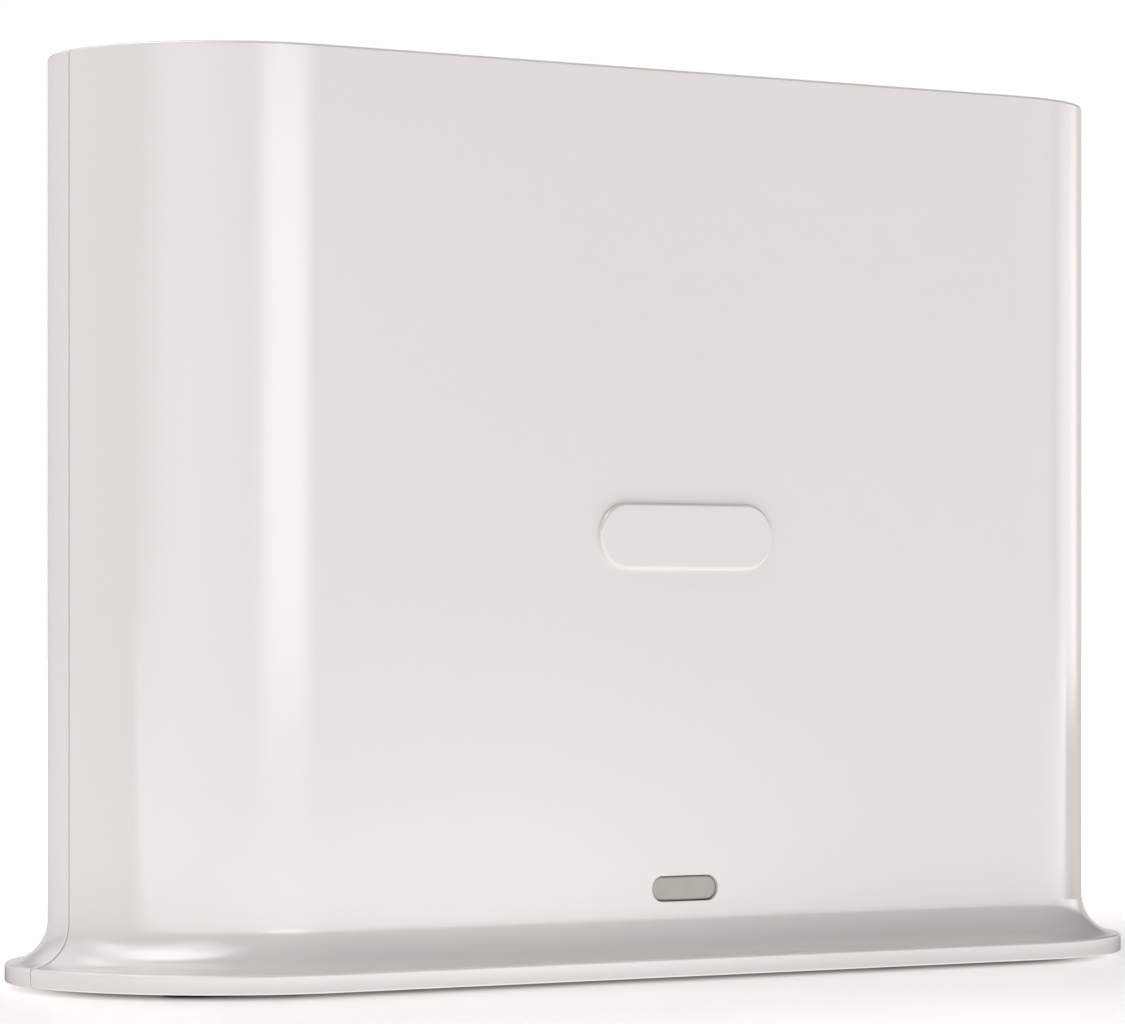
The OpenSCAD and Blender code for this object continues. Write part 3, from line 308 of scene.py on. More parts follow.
def grained(name, light, dark, gloss, grain, relief, patch=30, **constants):
    """A finish of two near shades in soft patches, with a grain in its relief and gloss. gloss holds the
    lowest and highest roughness. The sizes of grain, relief and patch are in millimetres."""
    finish = blank(name)
    place = add(finish, "TexCoord").outputs["Object"]
    cloud, bits = (
        add(finish, "TexNoise", {"Vector": place, "Scale": 1 / (size * mm), "Detail": fine})
        for size, fine in ((patch, 3), (grain, 2)))
    shade = add(finish, "Mix", {0: cloud, 6: linear(dark), 7: linear(light)}, data_type="RGBA")
    sheen = add(finish, "MapRange", (bits, noise_low, noise_high, *gloss))
    bump = add(finish, "Bump", {"Height": bits, "Distance": relief * mm})
    skin = add(finish, "BsdfPrincipled", {
        "Base Color": shade.outputs[2], "Roughness": sheen, "Normal": bump, **constants})
    add(finish, "OutputMaterial", {"Surface": skin})
    return finish


def settle(piece, name, slot, finish, *nodes, body="casing", sharp=35):
    """Names, shades and dresses a finished piece, and puts it on its body in place of its CAD nodes."""
    piece.name = name
    select_only(piece)
    bpy.ops.object.shade_smooth_by_angle(angle=math.radians(sharp))
    weigh = piece.modifiers.new("weigh", "WEIGHTED_NORMAL")
    weigh.keep_sharp = True
    bpy.ops.object.modifier_apply(modifier=weigh.name)
    piece.data.materials.clear()
    piece.data.materials.append(finish)
    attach(piece, body)
    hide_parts(*nodes)


def span(low, high):
    """A box between its lowest and highest corner."""
    low, high = Vector(low), Vector(high)
    bpy.ops.mesh.primitive_cube_add(size=1, location=(low + high) / 2, scale=high - low)
    bpy.ops.object.transform_apply()
    return bpy.context.object


def seam_band(outer, inner, y0, y1):
    """An arch of flat section along the seam, from foot to foot, at two distances in from the skin."""
    rows = []
    for inset in (outer, inner):
        bend, out = flare_r + inset, spine + rim_r
        low = math.asin((flare_z - lip_low) / bend)
        turns = [low * (lip_steps - i) / lip_steps for i in range(lip_steps + 1)]
        leg = [(out - bend * math.cos(turn), flare_z - bend * math.sin(turn)) for turn in turns]
        leg.append((spine + wall_r - inset, casing_h - inset))
        rows.append(leg + [(-x, z) for x, z in leg[::-1]])
    loop = [(x, y0, z) for x, z in rows[0] + rows[1][::-1]]
    pen_start(loop[0])
    for spot in loop[1:]:
        pen_line(spot)
    pick_all()
    bpy.ops.mesh.edge_face_add()
    bpy.ops.mesh.extrude_region_move(TRANSFORM_OT_translate={"value": (0, y1 - y0, 0)})
    close_up()
    edit(False)
    return bpy.context.object


def boss(side):
    """Two bosses for the base's screws, with webs to the wall, on the front (-1) or rear (1)."""
    pieces = []
    for x in (-screw_x, screw_x):
        pieces.append(rod(boss_r, boss_h, (x, side * screw_y, boss_low + boss_h / 2)))
        y0, y1 = sorted((side * screw_y, side * skin_mid))
        pieces.append(span((x - boss_web / 2, y0, boss_low), (x + boss_web / 2, y1, boss_low + boss_h)))
    return pieces


def merged(pieces):
    """Pieces that run into each other as one solid, trimmed to the middle of the casing's wall."""
    whole = joined(pieces)
    top = casing_h - wall_t / 2
    core = stadium(
        2 * (spine + skin_mid), 2 * skin_mid, top - boss_low, (0, 0, (top + boss_low) / 2), sides=128)
    carve(whole, [core], "INTERSECT", crossing=True)
    return whole


def screw_holes(side):
    """Tools for the holes that the base's screws cut their thread into."""
    return [rod(screw_hole_r, 2 * screw_hole_top, (x, side * screw_y, 0), sides=24)
            for x in (-screw_x, screw_x)]


carve(front_cover, [seam_band(wall_t - lip_t, wall_t + lip_gap, -wall_t, lip_l)], "UNION")
hooks = []
for x in (-hook_x, hook_x):
    x0, x1 = x - hook_w / 2, x + hook_w / 2
    hooks += [span((x0, hook_from, hook_low), (x1, hook_to, hook_low + hook_t)),
              span((x0, hook_from, hook_low), (x1, hook_from + hook_root, casing_h - wall_t / 2)),
              span((x0, hook_nose, hook_low), (x1, hook_to, top_in - 2 * lip_gap))]
guide_sleeve = stadium(
    sleeve_w, sleeve_h, skin_mid + sleeve_y, (0, (sleeve_y - skin_mid) / 2, window_z), facing_y)
carve(front_cover, [merged(boss(-1) + hooks + [guide_sleeve])], "UNION")
carve(front_cover, [stadium(window_w, window_h, tool_l, (0, -wall_r, window_z), facing_y)]
      + [rod(peg_hole_r, tool_l, (way * peg_x, -wall_r, peg_z), facing_y) for way in (-1, 1)]
      + screw_holes(-1))
guide_deep = inner_r + sleeve_y + guide_gap
carve(front_cover, [stadium(
    lens_flange_w + 2 * guide_gap, lens_flange_h + 2 * guide_gap, guide_deep,
    (0, guide_deep / 2 - inner_r, window_z), facing_y)])
soften(front_cover, opening_edge((0, -1, 0), wall_r), window_edge)
# Polished ABS: a warm white with a clear gloss, and a moulding's faint waviness of about 2 mm
casing_white = grained("polished_white_abs", "#e5dfdc", "#e2dcd9", (0.1, 0.14), 2, 0.0002, 60, IOR=1.585)
settle(front_cover, "front_cover_moulding", "casing_white", casing_white, "front_cover")

# Rear cover
# The rear half. A shallow bay low in its back holds the sockets and the power button, small holes let
# the siren out, slots beside them let warm air out, and the sync button comes up through its top. Inside
# are screw posts and bosses, ribs for the antennas, a shelf for the sync button, and the hooks' ridges.
bay_w, bay_h, bay_z, bay_r = mms(104, 21, 25, 3.5)
bay_floor_y, bay_back_y, bay_wall, bay_deep = mms(20.6, 18.6, 2, 4)
siren_z, grille_r, grille_pitch = mms(73, 1.1, 3.6)
vent_w, vent_h, vent_x, vent_pitch = mms(2, 30, 30.5, 4.5)
grille_rings, vent_count = 3, 6
sync_w, sync_d, sync_y, run_gap = mms(16, 6, 6.9, 0.3)
net_x, net_w, net_h, port_gap = mms(-8, 16, 13.6, 0.3)
data_xs, (data_w, data_h) = mms(14, 26), mms(5.8, 13.2)
jack_x, jack_barrel_r = mms(-44, 4.3)
power_x, power_r = mms(-29, 4.2)
reset_x, reset_hole_r = mms(42, 0.9)
through = 6 * mm
board_posts = [mms(x, z) for x in (-60, 60) for z in (13.5, 93.5)]
board_back, board_hole_end = mms(3.6, 10.1)
siren_post_x, siren_post_y, siren_hole_end = mms(21.6, 16.1, 20.2)
catch_y, catch_t, catch_h = mms(4, 1.4, 1.6)
rib_xs, rib_zs, (rib_y, rib_t) = mms(69, 81), mms(47, 95.4), mms(4, 1.6)
antenna_x, antenna_slot, antenna_back = mms(72, 1.2, 14.1)
shelf_w, shelf_y, shelf_z, shelf_t, stem_hole_r = mms(14, 3.7, 109.8, 2, 1.9)
back_soft, bay_soft, top_soft = mms(0.25, 0.12, 0.2)


def along_axis(axis):
    """A test for the edges that run along one axis."""
    def test(edge):
        step = (edge.verts[1].co - edge.verts[0].co).normalized()
        return abs(step[axis]) > aligned
    return test


def block(size, at):
    """A box of a size, with its middle at a place."""
    half = Vector(size) / 2
    return span(Vector(at) - half, Vector(at) + half)


def rounded_block(size, at, radius, axis=1, steps=8):
    """A block whose edges along one axis are rounded."""
    box = block(size, at)
    soften(box, along_axis(axis), radius, steps)
    return box


def post(x, z, y, radius, to):
    """A round post or tool along Y, from a depth to another."""
    return rod(radius, to - y, (x, (y + to) / 2, z), facing_y)


def port(x, wide, high):
    """A tool that cuts a plain opening through the bay's floor."""
    return block((wide + 2 * port_gap, through, high + 2 * port_gap), (x, bay_floor_y, bay_z))


carve(rear_cover, [seam_band(wall_t - lip_t - lip_gap, 2 * wall_t, -wall_t, lip_l + lip_gap)])
inside = [post(x, z, board_back, boss_r, skin_mid) for x, z in board_posts]
inside += [post(way * siren_post_x, siren_z, siren_post_y, boss_r, skin_mid) for way in (-1, 1)]
inside += [span((x - hook_w / 2, catch_y, top_in - catch_h),
                (x + hook_w / 2, catch_y + catch_t, casing_h - wall_t / 2)) for x in (-hook_x, hook_x)]
for way in (-1, 1):
    x0, x1 = sorted(way * x for x in rib_xs)
    inside += [span((x0, rib_y, z), (x1, skin_mid, z + rib_t)) for z in rib_zs]
inside.append(span((-shelf_w / 2, shelf_y, shelf_z), (shelf_w / 2, skin_mid, shelf_z + shelf_t)))
inside = merged(inside + boss(1))
notches = [
    span((x - antenna_slot / 2, 0, z - rib_t), (x + antenna_slot / 2, antenna_back, z + 2 * rib_t))
    for x in (-antenna_x, antenna_x) for z in rib_zs]
notches += [rod(stem_hole_r, through, (0, sync_y, shelf_z)),
            span((-stem_hole_r, 0, shelf_z - shelf_t), (stem_hole_r, sync_y, shelf_z + 2 * shelf_t))]
carve(inside, notches, crossing=True)
carve(rear_cover, [inside], "UNION")
carve(rear_cover, [rounded_block(
    (bay_w + 2 * bay_wall, bay_deep, bay_h + 2 * bay_wall), (0, bay_back_y + bay_deep / 2, bay_z),
    bay_r + bay_wall)], "UNION")
grille = [rod(grille_r, through, (0, wall_r, siren_z), facing_y, sides=20)]
for ring in range(1, grille_rings + 1):
    for step in range(6 * ring):
        turn, out = math.radians(60 * step / ring), ring * grille_pitch
        at = (out * math.cos(turn), wall_r, siren_z + out * math.sin(turn))
        grille.append(rod(grille_r, through, at, facing_y, sides=20))
vents = [stadium(vent_h, vent_w, through, (way * (vent_x + i * vent_pitch), wall_r, siren_z),
                     facing_y, upwards, sides=20) for way in (-1, 1) for i in range(vent_count)]
bay = rounded_block((bay_w, through, bay_h), (0, bay_floor_y + through / 2, bay_z), bay_r)
sync_hole = stadium(sync_w + 2 * run_gap, sync_d + 2 * run_gap, through, (0, sync_y, casing_h))
carve(rear_cover, grille + vents + [bay, sync_hole] + screw_holes(1))
carve(rear_cover, [post(x, z, 0, screw_hole_r, board_hole_end) for x, z in board_posts]
      + [post(way * siren_post_x, siren_z, 0, screw_hole_r, siren_hole_end) for way in (-1, 1)])
ports = [port(net_x, net_w, net_h)]
for x, radius, sides in (
        (jack_x, jack_barrel_r + port_gap, 48), (power_x, power_r + run_gap, 48),
        (reset_x, reset_hole_r, 24)):
    ports.append(rod(radius, through, (x, bay_floor_y, bay_z), facing_y, sides))
carve(rear_cover, ports + [port(x, data_w, data_h) for x in data_xs])
soften(rear_cover, opening_edge((0, 1, 0), wall_r), back_soft)
soften(rear_cover, opening_edge((0, 1, 0), bay_floor_y), bay_soft)
soften(rear_cover, opening_edge((0, 0, 1), casing_h), top_soft)
settle(rear_cover, "rear_cover_moulding", "casing_white", casing_white, "rear_cover")

# Base plate
# A flat moulding that closes the foot from below: cups sink its screws, shallow recesses take the
# feet, and two rows of slots draw air in. Its underside has the fine matt of an eroded mould.
plate_z, plate_t, plate_gap, plate_edge = mms(1.05, 1.2, 0.1, 0.15)
screw_places = [(x, y, 0) for x in (-screw_x, screw_x) for y in (-screw_y, screw_y)]
cup_r, cup_top = mms(4, 4.15)
head_hole_r, head_hole_top, shank_hole_r = mms(2.6, 2.75, 1.2)
foot_places = [mms(x, y, 0) for x in (-64, 64) for y in (-12, 12)]
foot_w, foot_d, foot_t = mms(20, 8, 1.65)
slot_w, slot_d, slot_x, slot_pitch = mms(22, 2.4, 13.2, 5)
slot_count = 4
plate_r = rim_in - plate_gap
base_plate = stadium(
    2 * (spine + plate_r), 2 * plate_r, plate_t, (0, 0, plate_z + plate_t / 2), sides=96)
cup_mid = (plate_z + cup_top) / 2
carve(base_plate, [rod(cup_r, cup_top - plate_z, (x, y, cup_mid)) for x, y, _ in screw_places], "UNION")
carve(base_plate, [rod(head_hole_r, 2 * head_hole_top, at) for at in screw_places]
      + [stadium(foot_w + 2 * plate_gap, foot_d + 2 * plate_gap, 2 * foot_t, at) for at in foot_places]
      + [stadium(slot_w, slot_d, through, (x, (i - (slot_count - 1) / 2) * slot_pitch, 0), sides=24)
         for x in (-slot_x, slot_x) for i in range(slot_count)])
carve(base_plate, [rod(shank_hole_r, 2 * through, at, sides=24) for at in screw_places])
soften(base_plate, opening_edge((0, 0, -1), -plate_z), plate_edge)
# ABS from a spark-eroded mould: a matt, slightly darker white with pits of about 0.3 mm
matt_white = grained("matt_white_abs", "#d9d5d0", "#d3cfca", (0.48, 0.6), 0.3, 0.012, IOR=1.53)
settle(base_plate, "base_plate_moulding", "base_plastic", matt_white, "base_plate")

# Feet
# Four pads of soft dark rubber, pressed to shape with a raised border that grips the table, and
# glued into the base plate's recesses.
foot_edge, foot_border, foot_dish = mms(0.45, 1.3, 0.25)


def set_out(piece, places, names, slot, finish, node):
    """Settles a copy of a piece, with its own mesh, at each of several places, and removes the piece."""
    for place, name in zip(places, names):
        select_only(piece)
        bpy.ops.object.duplicate()
        bpy.ops.transform.translate(value=place)
        bpy.ops.object.transform_apply()
        settle(bpy.context.object, name, slot, finish, node)
    bpy.data.objects.remove(piece)


foot = stadium(foot_w, foot_d, foot_t, (0, 0, foot_t / 2))
soften(foot, opening_edge((0, 0, -1), 0), foot_edge, steps=4)
edit()
pick("FACE", lambda f: f.normal.z < -aligned)
bpy.ops.mesh.inset(thickness=foot_border)
bpy.ops.mesh.inset(thickness=foot_dish)
bpy.ops.transform.translate(value=(0, 0, foot_dish))
edit(False)
# Pressed thermoplastic rubber: dull and dark grey, with a dusty bloom and a grain of about 0.5 mm
dark_rubber = grained("pressed_dark_rubber", "#424244", "#353537", (0.72, 0.9), 0.5, 0.02, 6, IOR=1.5)
set_out(foot, foot_places, [f"rubber_foot_{n}" for n in "1234"],
        "foot_rubber", dark_rubber, "rubber_feet")

# Base screws
# Four zinc-plated pan-head tapping screws, which hold the base plate to bosses in both covers. Each
# has a cross recess and a coarse thread, drawn here as rings.
head_r, head_h, head_z, head_curve = mms(2.5, 1.6, 1.15, 0.8)
shank_r, root_r, screw_l, recess_w, recess_deep = mms(1.1, 0.85, 8, 0.7, 0.8)
thread_pitch, thread_start, thread_rise = mms(0.8, 0.24, 0.28)


def lathe(profile, at, axis, sides=64):
    """Draws a profile of radii and heights, and spins it round an axis through a place."""
    at, axis = Vector(at), Vector(axis)
    spots = [at + across * radius + axis * height for radius, height in profile]
    pen_start(spots[0])
    for spot in spots[1:]:
        pen_line(spot)
    pick_all()
    bpy.ops.mesh.spin(steps=sides, angle=2 * math.pi, center=at, axis=axis)
    close_up()
    edit(False)
    return bpy.context.object


def rounded(radius, height, curve, rise, steps=4):
    """Profile points round an outer edge, from a height out to a radius, rising (1) or falling (-1)."""
    turns = [math.pi / 2 * i / steps for i in range(steps + 1)]
    return [(radius - curve + curve * math.sin(t), height + rise * curve * (1 - math.cos(t)))
            for t in turns]


thread = []
for turn in range(int(screw_l / thread_pitch) - 1):
    low = head_h + turn * thread_pitch + thread_start
    thread += [(root_r, low), (shank_r, low + thread_rise), (root_r, low + 2 * thread_rise)]
screw = lathe(
    [(0, 0)] + rounded(head_r, 0, head_curve, 1) + [(head_r, head_h), (root_r, head_h)] + thread
    + [(0, head_h + screw_l)], (0, 0, head_z), (0, 0, 1), sides=32)
recess_l = 2 * head_r - 2 * recess_w
for x, y in ((recess_l, recess_w), (recess_w, recess_l)):
    carve(screw, [block((x, y, 2 * recess_deep), (0, 0, head_z))])
# Bright zinc plating on steel: a bluish silver with a fine uneven haze
zinc = grained("zinc_plated_steel", "#c3c6ca", "#aeb1b6", (0.24, 0.4), 0.5, 0.002, 2, Metallic=1)
set_out(screw, screw_places, [f"base_screw_{n}" for n in "1234"], "screw_steel", zinc, "base_screws")

# Badge
# A small blank plate on the front, moulded in the casing's own white with softly rounded edges. Two
# pegs on its back press into the front cover.
badge_w, badge_h, badge_t, badge_edge, peg_r = mms(28.4, 8.8, 0.6, 0.35, 1)
badge_mid = wall_r + badge_t / 2
badge = stadium(badge_w, badge_h, badge_t, (0, -badge_mid, peg_z), facing_y, sides=64)
soften(badge, opening_edge((0, -1, 0), wall_r + badge_t), badge_edge, steps=5)
carve(badge, [rod(peg_r, badge_mid - inner_r, (x, -(badge_mid + inner_r) / 2, peg_z), facing_y)
              for x in (-peg_x, peg_x)], "UNION")
# Polished ABS, as the casing
badge_white = grained("badge_white_abs", "#e5dfdc", "#e2dcd9", (0.1, 0.14), 2, 0.0002, IOR=1.585)
settle(badge, "blank_badge", "badge_white", badge_white, "badge")

# Status light
# A smoke-tinted window set just behind the front's face, with a flange that holds it from inside. A
# clear acrylic guide behind it carries the light of the diode on the board.
lens_gap, lens_recess, lens_edge, lens_flange_t = mms(0.1, 0.4, 0.25, 1)


def keep(finish, *nodes):
    """Dresses CAD nodes whose shape is right, as they stand."""
    for node in nodes:
        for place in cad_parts[node].material_slots:
            place.material = finish


lens_front = wall_r - lens_recess
lens = stadium(
    window_w - 2 * lens_gap, window_h - 2 * lens_gap, lens_front - inner_r,
    (0, -(lens_front + inner_r) / 2, window_z), facing_y)
soften(lens, opening_edge((0, -1, 0), lens_front), lens_edge, steps=3)
carve(lens, [stadium(
    lens_flange_w, lens_flange_h, lens_flange_t,
    (0, -inner_r + lens_flange_t / 2, window_z), facing_y)], "UNION")
# Smoke-tinted polycarbonate: a warm mid grey under a clear gloss, clouded within at about 3 mm
smoke = grained("smoke_polycarbonate", "#a7a199", "#9e988f", (0.16, 0.24), 1.5, 0.001, 3, IOR=1.585)
settle(lens, "status_light_window", "window_smoke", smoke, "light_window")
# Moulded acrylic: clear and colourless, with the faint flow of the mould in its gloss
acrylic = grained("clear_acrylic", "#f4f8f8", "#eef3f3", (0.04, 0.1), 1.5, 0.001, 5,
                  IOR=1.49, **{"Transmission Weight": 0.9})
keep(acrylic, "light_guide")
# Epoxy over phosphor: pale yellow and cloudy, as diodes and small lamps are
lamp_epoxy = grained("clouded_lamp_epoxy", "#efe9c8", "#e2d9a8", (0.2, 0.3), 0.6, 0.002, 1,
                     IOR=1.53, **{"Subsurface Weight": 0.15})
keep(lamp_epoxy, "status_led")

# Sync button
# An oblong key in the top, moulded with its flange and stem. The flange keeps it in, a shelf guides the
# stem, and the stem presses the plunger of a switch on the board's upper edge.
sync_proud, sync_lip, sync_flange_t, sync_under = mms(0.4, 1.2, 1.2, 120.9)
sync_edge, sync_border, sync_dish, stem_r = mms(0.45, 0.5, 0.18, 1.6)
sync_falls = 0.1, 0.35, 0.35, 0.2
plunger_low, plunger_top, plunger_r, plunger_edge = mms(97.5, 101.9, 1.7, 0.3)


def pin(radius, low, top, edge, at, axis):
    """A round pin between two heights along its axis, with a rounded tip."""
    return lathe(
        [(0, top)] + rounded(radius, top, edge, -1) + [(radius, low), (0, low)], at, axis, sides=32)


sync_top = casing_h + sync_proud
sync_button = stadium(
    sync_w, sync_d, sync_top - sync_under, (0, sync_y, (sync_top + sync_under) / 2), sides=64)
soften(sync_button, opening_edge((0, 0, 1), sync_top), sync_edge, steps=4)
edit()
pick("FACE", lambda f: f.normal.z > aligned)
for fall in sync_falls:
    bpy.ops.mesh.inset(thickness=sync_border)
    bpy.ops.transform.translate(value=(0, 0, -fall * sync_dish))
edit(False)
carve(sync_button, [stadium(
    sync_w + 2 * sync_lip, sync_d + 2 * sync_lip, sync_flange_t,
    (0, sync_y, sync_under - sync_flange_t / 2))], "UNION")
carve(sync_button, [rod(
    stem_r, sync_under - plunger_top, (0, sync_y, (sync_under + plunger_top) / 2))], "UNION")
# ABS with a satin mould finish: a cool light grey with a grain of about 0.4 mm
satin_grey = grained("satin_grey_abs", "#d2cfcb", "#cbc8c4", (0.34, 0.44), 0.4, 0.004, IOR=1.53)
settle(sync_button, "sync_button_key", "button_grey", satin_grey, "sync_button", body="sync_key")
plunger = pin(plunger_r, 0, plunger_top - plunger_low, plunger_edge, (0, sync_y, plunger_low), (0, 0, 1))
# Turned acetal: ivory, waxy and smooth, with faint turning marks of about 0.4 mm
ivory_acetal = grained("ivory_acetal", "#ddd8c9", "#d3cdbc", (0.3, 0.42), 0.4, 0.003, 4, IOR=1.48)
settle(plunger, "sync_switch_plunger", "plunger_ivory", ivory_acetal, "sync_plunger", body="sync_key")
# Glass-filled nylon: near black and dull, with a mottle of about 0.3 mm from the fibres
black_nylon = grained("black_filled_nylon", "#2b2c2e", "#222325", (0.5, 0.66), 0.3, 0.006, 4, IOR=1.53)
keep(black_nylon, "sync_switch")

# Power button
# A round key in the bay with a dished face, turned up at its edge. Its flange keeps it in behind the
# bay's floor, and a square socket in its back sits on the shaft of a latching switch.
power_front, power_back = mms(22.4, 13.6)
power_dish, power_curve, power_flat = mms(0.35, 0.5, 0.2)
dish_steps = 4
power_lip_r, power_lip_front, power_lip_back = mms(5.2, 18.5, 17.3)
shaft_hole, shaft_end = mms(3.1, 15.6)
dish_r = power_r - power_curve - power_flat
dish = [(dish_r * i / dish_steps, power_front - power_dish * (1 - (i / dish_steps) ** 2))
        for i in range(dish_steps + 1)]
power_button = lathe(dish + rounded(power_r, power_front, power_curve, -1) + [
    (power_r, power_lip_front), (power_lip_r, power_lip_front), (power_lip_r, power_lip_back),
    (power_r, power_lip_back), (power_r, power_back), (0, power_back)], (power_x, 0, bay_z), (0, 1, 0))
carve(power_button, [block(
    (shaft_hole, 2 * (shaft_end - power_back), shaft_hole), (power_x, power_back, bay_z))])
settle(power_button, "power_button_key", "button_grey", satin_grey, "power_button", body="power_key")
keep(black_nylon, "power_switch")
keep(ivory_acetal, "power_shaft")

# Reset switch
# A small push switch on the board, with a black nylon body. Its round acetal plunger sits behind a pin
# hole in the bay's floor, out of a finger's reach.
reset_low, reset_top, reset_r = mms(5.5, 17.4, 1.7)
reset_plunger = pin(
    reset_r, 0, reset_top - reset_low, plunger_edge, (reset_x, reset_low, bay_z), (0, 1, 0))
settle(reset_plunger, "reset_switch_plunger", "plunger_ivory", ivory_acetal, "reset_plunger",
       body="reset_key")
keep(black_nylon, "reset_switch")

# Network socket
# A black moulded insert with the plug's opening, latch slot and two lamps, wrapped in a folded skin of
# plated steel. Eight gold-plated spring wires slant down from its roof.
socket_back, socket_front = mms(3.6, 20.4)
net_skin, net_corner, insert_gap = mms(0.3, 0.5, 0.1)
plug_w, plug_top, plug_low, plug_deep = mms(11.8, 4.2, -2.6, 13)
latch_w, latch_h, key_w, key_h = mms(6.2, 1.8, 3.4, 1)
lamp_w, lamp_h, lamp_deep, lamp_x, lamp_z = mms(3, 1.5, 3, 5.2, 5.3)
mouth_edge, skin_edge, lamp_edge = mms(0.2, 0.06, 0.25)
socket_l, socket_mid = socket_front - socket_back, (socket_front + socket_back) / 2


def sleeve(wide, high, skin, corner, x):
    """An open sleeve of folded sheet that stands from the board to the sockets' front."""
    at = (x, socket_mid, bay_z)
    outside = rounded_block((wide, socket_l, high), at, corner)
    hollow = rounded_block((wide - 2 * skin, socket_l + through, high - 2 * skin), at, corner - skin)
    carve(outside, [hollow])
    soften(outside, opening_edge((0, 1, 0), socket_front), skin_edge)
    return outside


def mouth(wide, low, high, deep, x):
    """A tool that cuts a plain opening into a socket's front, between two heights from its middle."""
    return block((wide, 2 * deep, high - low), (x, socket_front, bay_z + (low + high) / 2))


net_shell = sleeve(net_w, net_h, net_skin, net_corner, net_x)
# Tin-plated sheet steel: a soft silver, smeared by the rolling and marked by handling at about 1 mm
tinned_steel = grained("tin_plated_sheet", "#cdcfd1", "#b9bbbe", (0.26, 0.42), 1, 0.002, 4, Metallic=1)
settle(net_shell, "network_socket_shell", "shell_steel", tinned_steel, "network_shell")
insert_in = net_skin + insert_gap
net_insert = rounded_block(
    (net_w - 2 * insert_in, socket_l, net_h - 2 * insert_in), (net_x, socket_mid, bay_z),
    net_corner - net_skin)
for wide, low, high in (
        (plug_w, plug_low, plug_top), (latch_w, plug_low - latch_h, plug_low + latch_h),
        (key_w, plug_low - latch_h - key_h, plug_low)):
    carve(net_insert, [mouth(wide, low, high, plug_deep, net_x)])
carve(net_insert, [
    mouth(lamp_w, lamp_z - lamp_h / 2, lamp_z + lamp_h / 2, lamp_deep, net_x + way * lamp_x)
    for way in (-1, 1)])
soften(net_insert, opening_edge((0, 1, 0), socket_front), mouth_edge)
# Moulded PBT: black with a slight sheen, and the faint mottle of its filler at about 0.4 mm
black_pbt = grained("black_pbt", "#242527", "#1c1d1f", (0.36, 0.5), 0.4, 0.004, 5, IOR=1.56)
settle(net_insert, "network_socket_insert", "port_black", black_pbt, "network_insert")
lamp = block((lamp_w, lamp_deep, lamp_h), (net_x, socket_front - lamp_deep / 2, bay_z + lamp_z))
soften(lamp, opening_edge((0, 1, 0), socket_front), lamp_edge, steps=3)
set_out(lamp, [(-lamp_x, 0, 0), (lamp_x, 0, 0)], ["network_lamp_left", "network_lamp_right"],
        "lamp_lens", lamp_epoxy, "network_lamps")
# Gold flashed over nickel on spring bronze: a warm pale gold, worn dull in spots of about 0.5 mm
gold = grained("gold_flashed_bronze", "#e0bd66", "#cfa94e", (0.2, 0.36), 0.5, 0.001, 1.5, Metallic=1)
keep(gold, "network_contacts")

# Data sockets
# Two upright sockets, each a folded shell of plated steel round a black tongue that carries four
# gold-plated contacts.
data_skin, data_corner, data_ease = mms(0.3, 0.7, 0.1)
tongue_base, tongue_x, tongue_t, tongue_h, tongue_in = mms(5.4, -1.5, 1.9, 11.2, 1)
tongue_edge = 0.35 * mm
data_places = [(x, 0, 0) for x in data_xs]
data_shell = sleeve(data_w, data_h, data_skin, data_corner, 0)
set_out(data_shell, data_places, ["data_socket_shell_a", "data_socket_shell_b"],
        "shell_steel", tinned_steel, "usb_shells")
root_in = 2 * (data_skin + data_ease)
tongue = rounded_block(
    (data_w - root_in, tongue_base, data_h - root_in), (0, socket_back + tongue_base / 2, bay_z),
    data_corner - data_skin)
blade_l = socket_l - tongue_in
blade = block((tongue_t, blade_l, tongue_h), (tongue_x + tongue_t / 2, socket_back + blade_l / 2, bay_z))
soften(blade, opening_edge((0, 1, 0), socket_front - tongue_in), tongue_edge, steps=3)
carve(tongue, [blade], "UNION")
set_out(tongue, data_places, ["data_socket_tongue_a", "data_socket_tongue_b"],
        "port_black", black_pbt, "usb_tongues")
keep(gold, "usb_contacts")

# Power socket
# A black moulded socket with a round barrel. A turned pin stands in the middle of its bore, and a flat
# spring let into the bore's lower side touches the plug's sleeve.
jack_w, jack_h, jack_shoulder, jack_edge = mms(9, 11, 14.4, 0.4)
bore_r, bore_low, bore_lead, overlap = mms(2.8, 10.9, 0.5, 1)
pin_r, pin_top, pin_tip = mms(1, 19.6, 0.6)
spring_w, spring_t, spring_l = mms(1.8, 0.4, 6)
jack_at = (jack_x, 0, bay_z)
jack = rounded_block(
    (jack_w, jack_shoulder - socket_back, jack_h), (jack_x, (jack_shoulder + socket_back) / 2, bay_z),
    jack_edge)
carve(jack, [lathe([(0, socket_front)] + rounded(jack_barrel_r, socket_front, jack_edge, -1) + [
    (jack_barrel_r, jack_shoulder - overlap), (0, jack_shoulder - overlap)],
    jack_at, (0, 1, 0))], "UNION")
carve(jack, [lathe([
    (0, socket_front + overlap), (bore_r + bore_lead + overlap, socket_front + overlap),
    (bore_r, socket_front - bore_lead), (bore_r, bore_low), (0, bore_low)], jack_at, (0, 1, 0))])
carve(jack, [block(
    (spring_w, spring_l, 2 * spring_t), (jack_x, bore_low + spring_l / 2, bay_z - bore_r))])
settle(jack, "power_socket_moulding", "port_black", black_nylon, "power_socket")
centre_pin = pin(pin_r, bore_low, pin_top, pin_tip, jack_at, (0, 1, 0))
settle(centre_pin, "power_socket_centre_pin", "contact_gold", gold, "power_socket_pin")
keep(gold, "power_socket_spring")

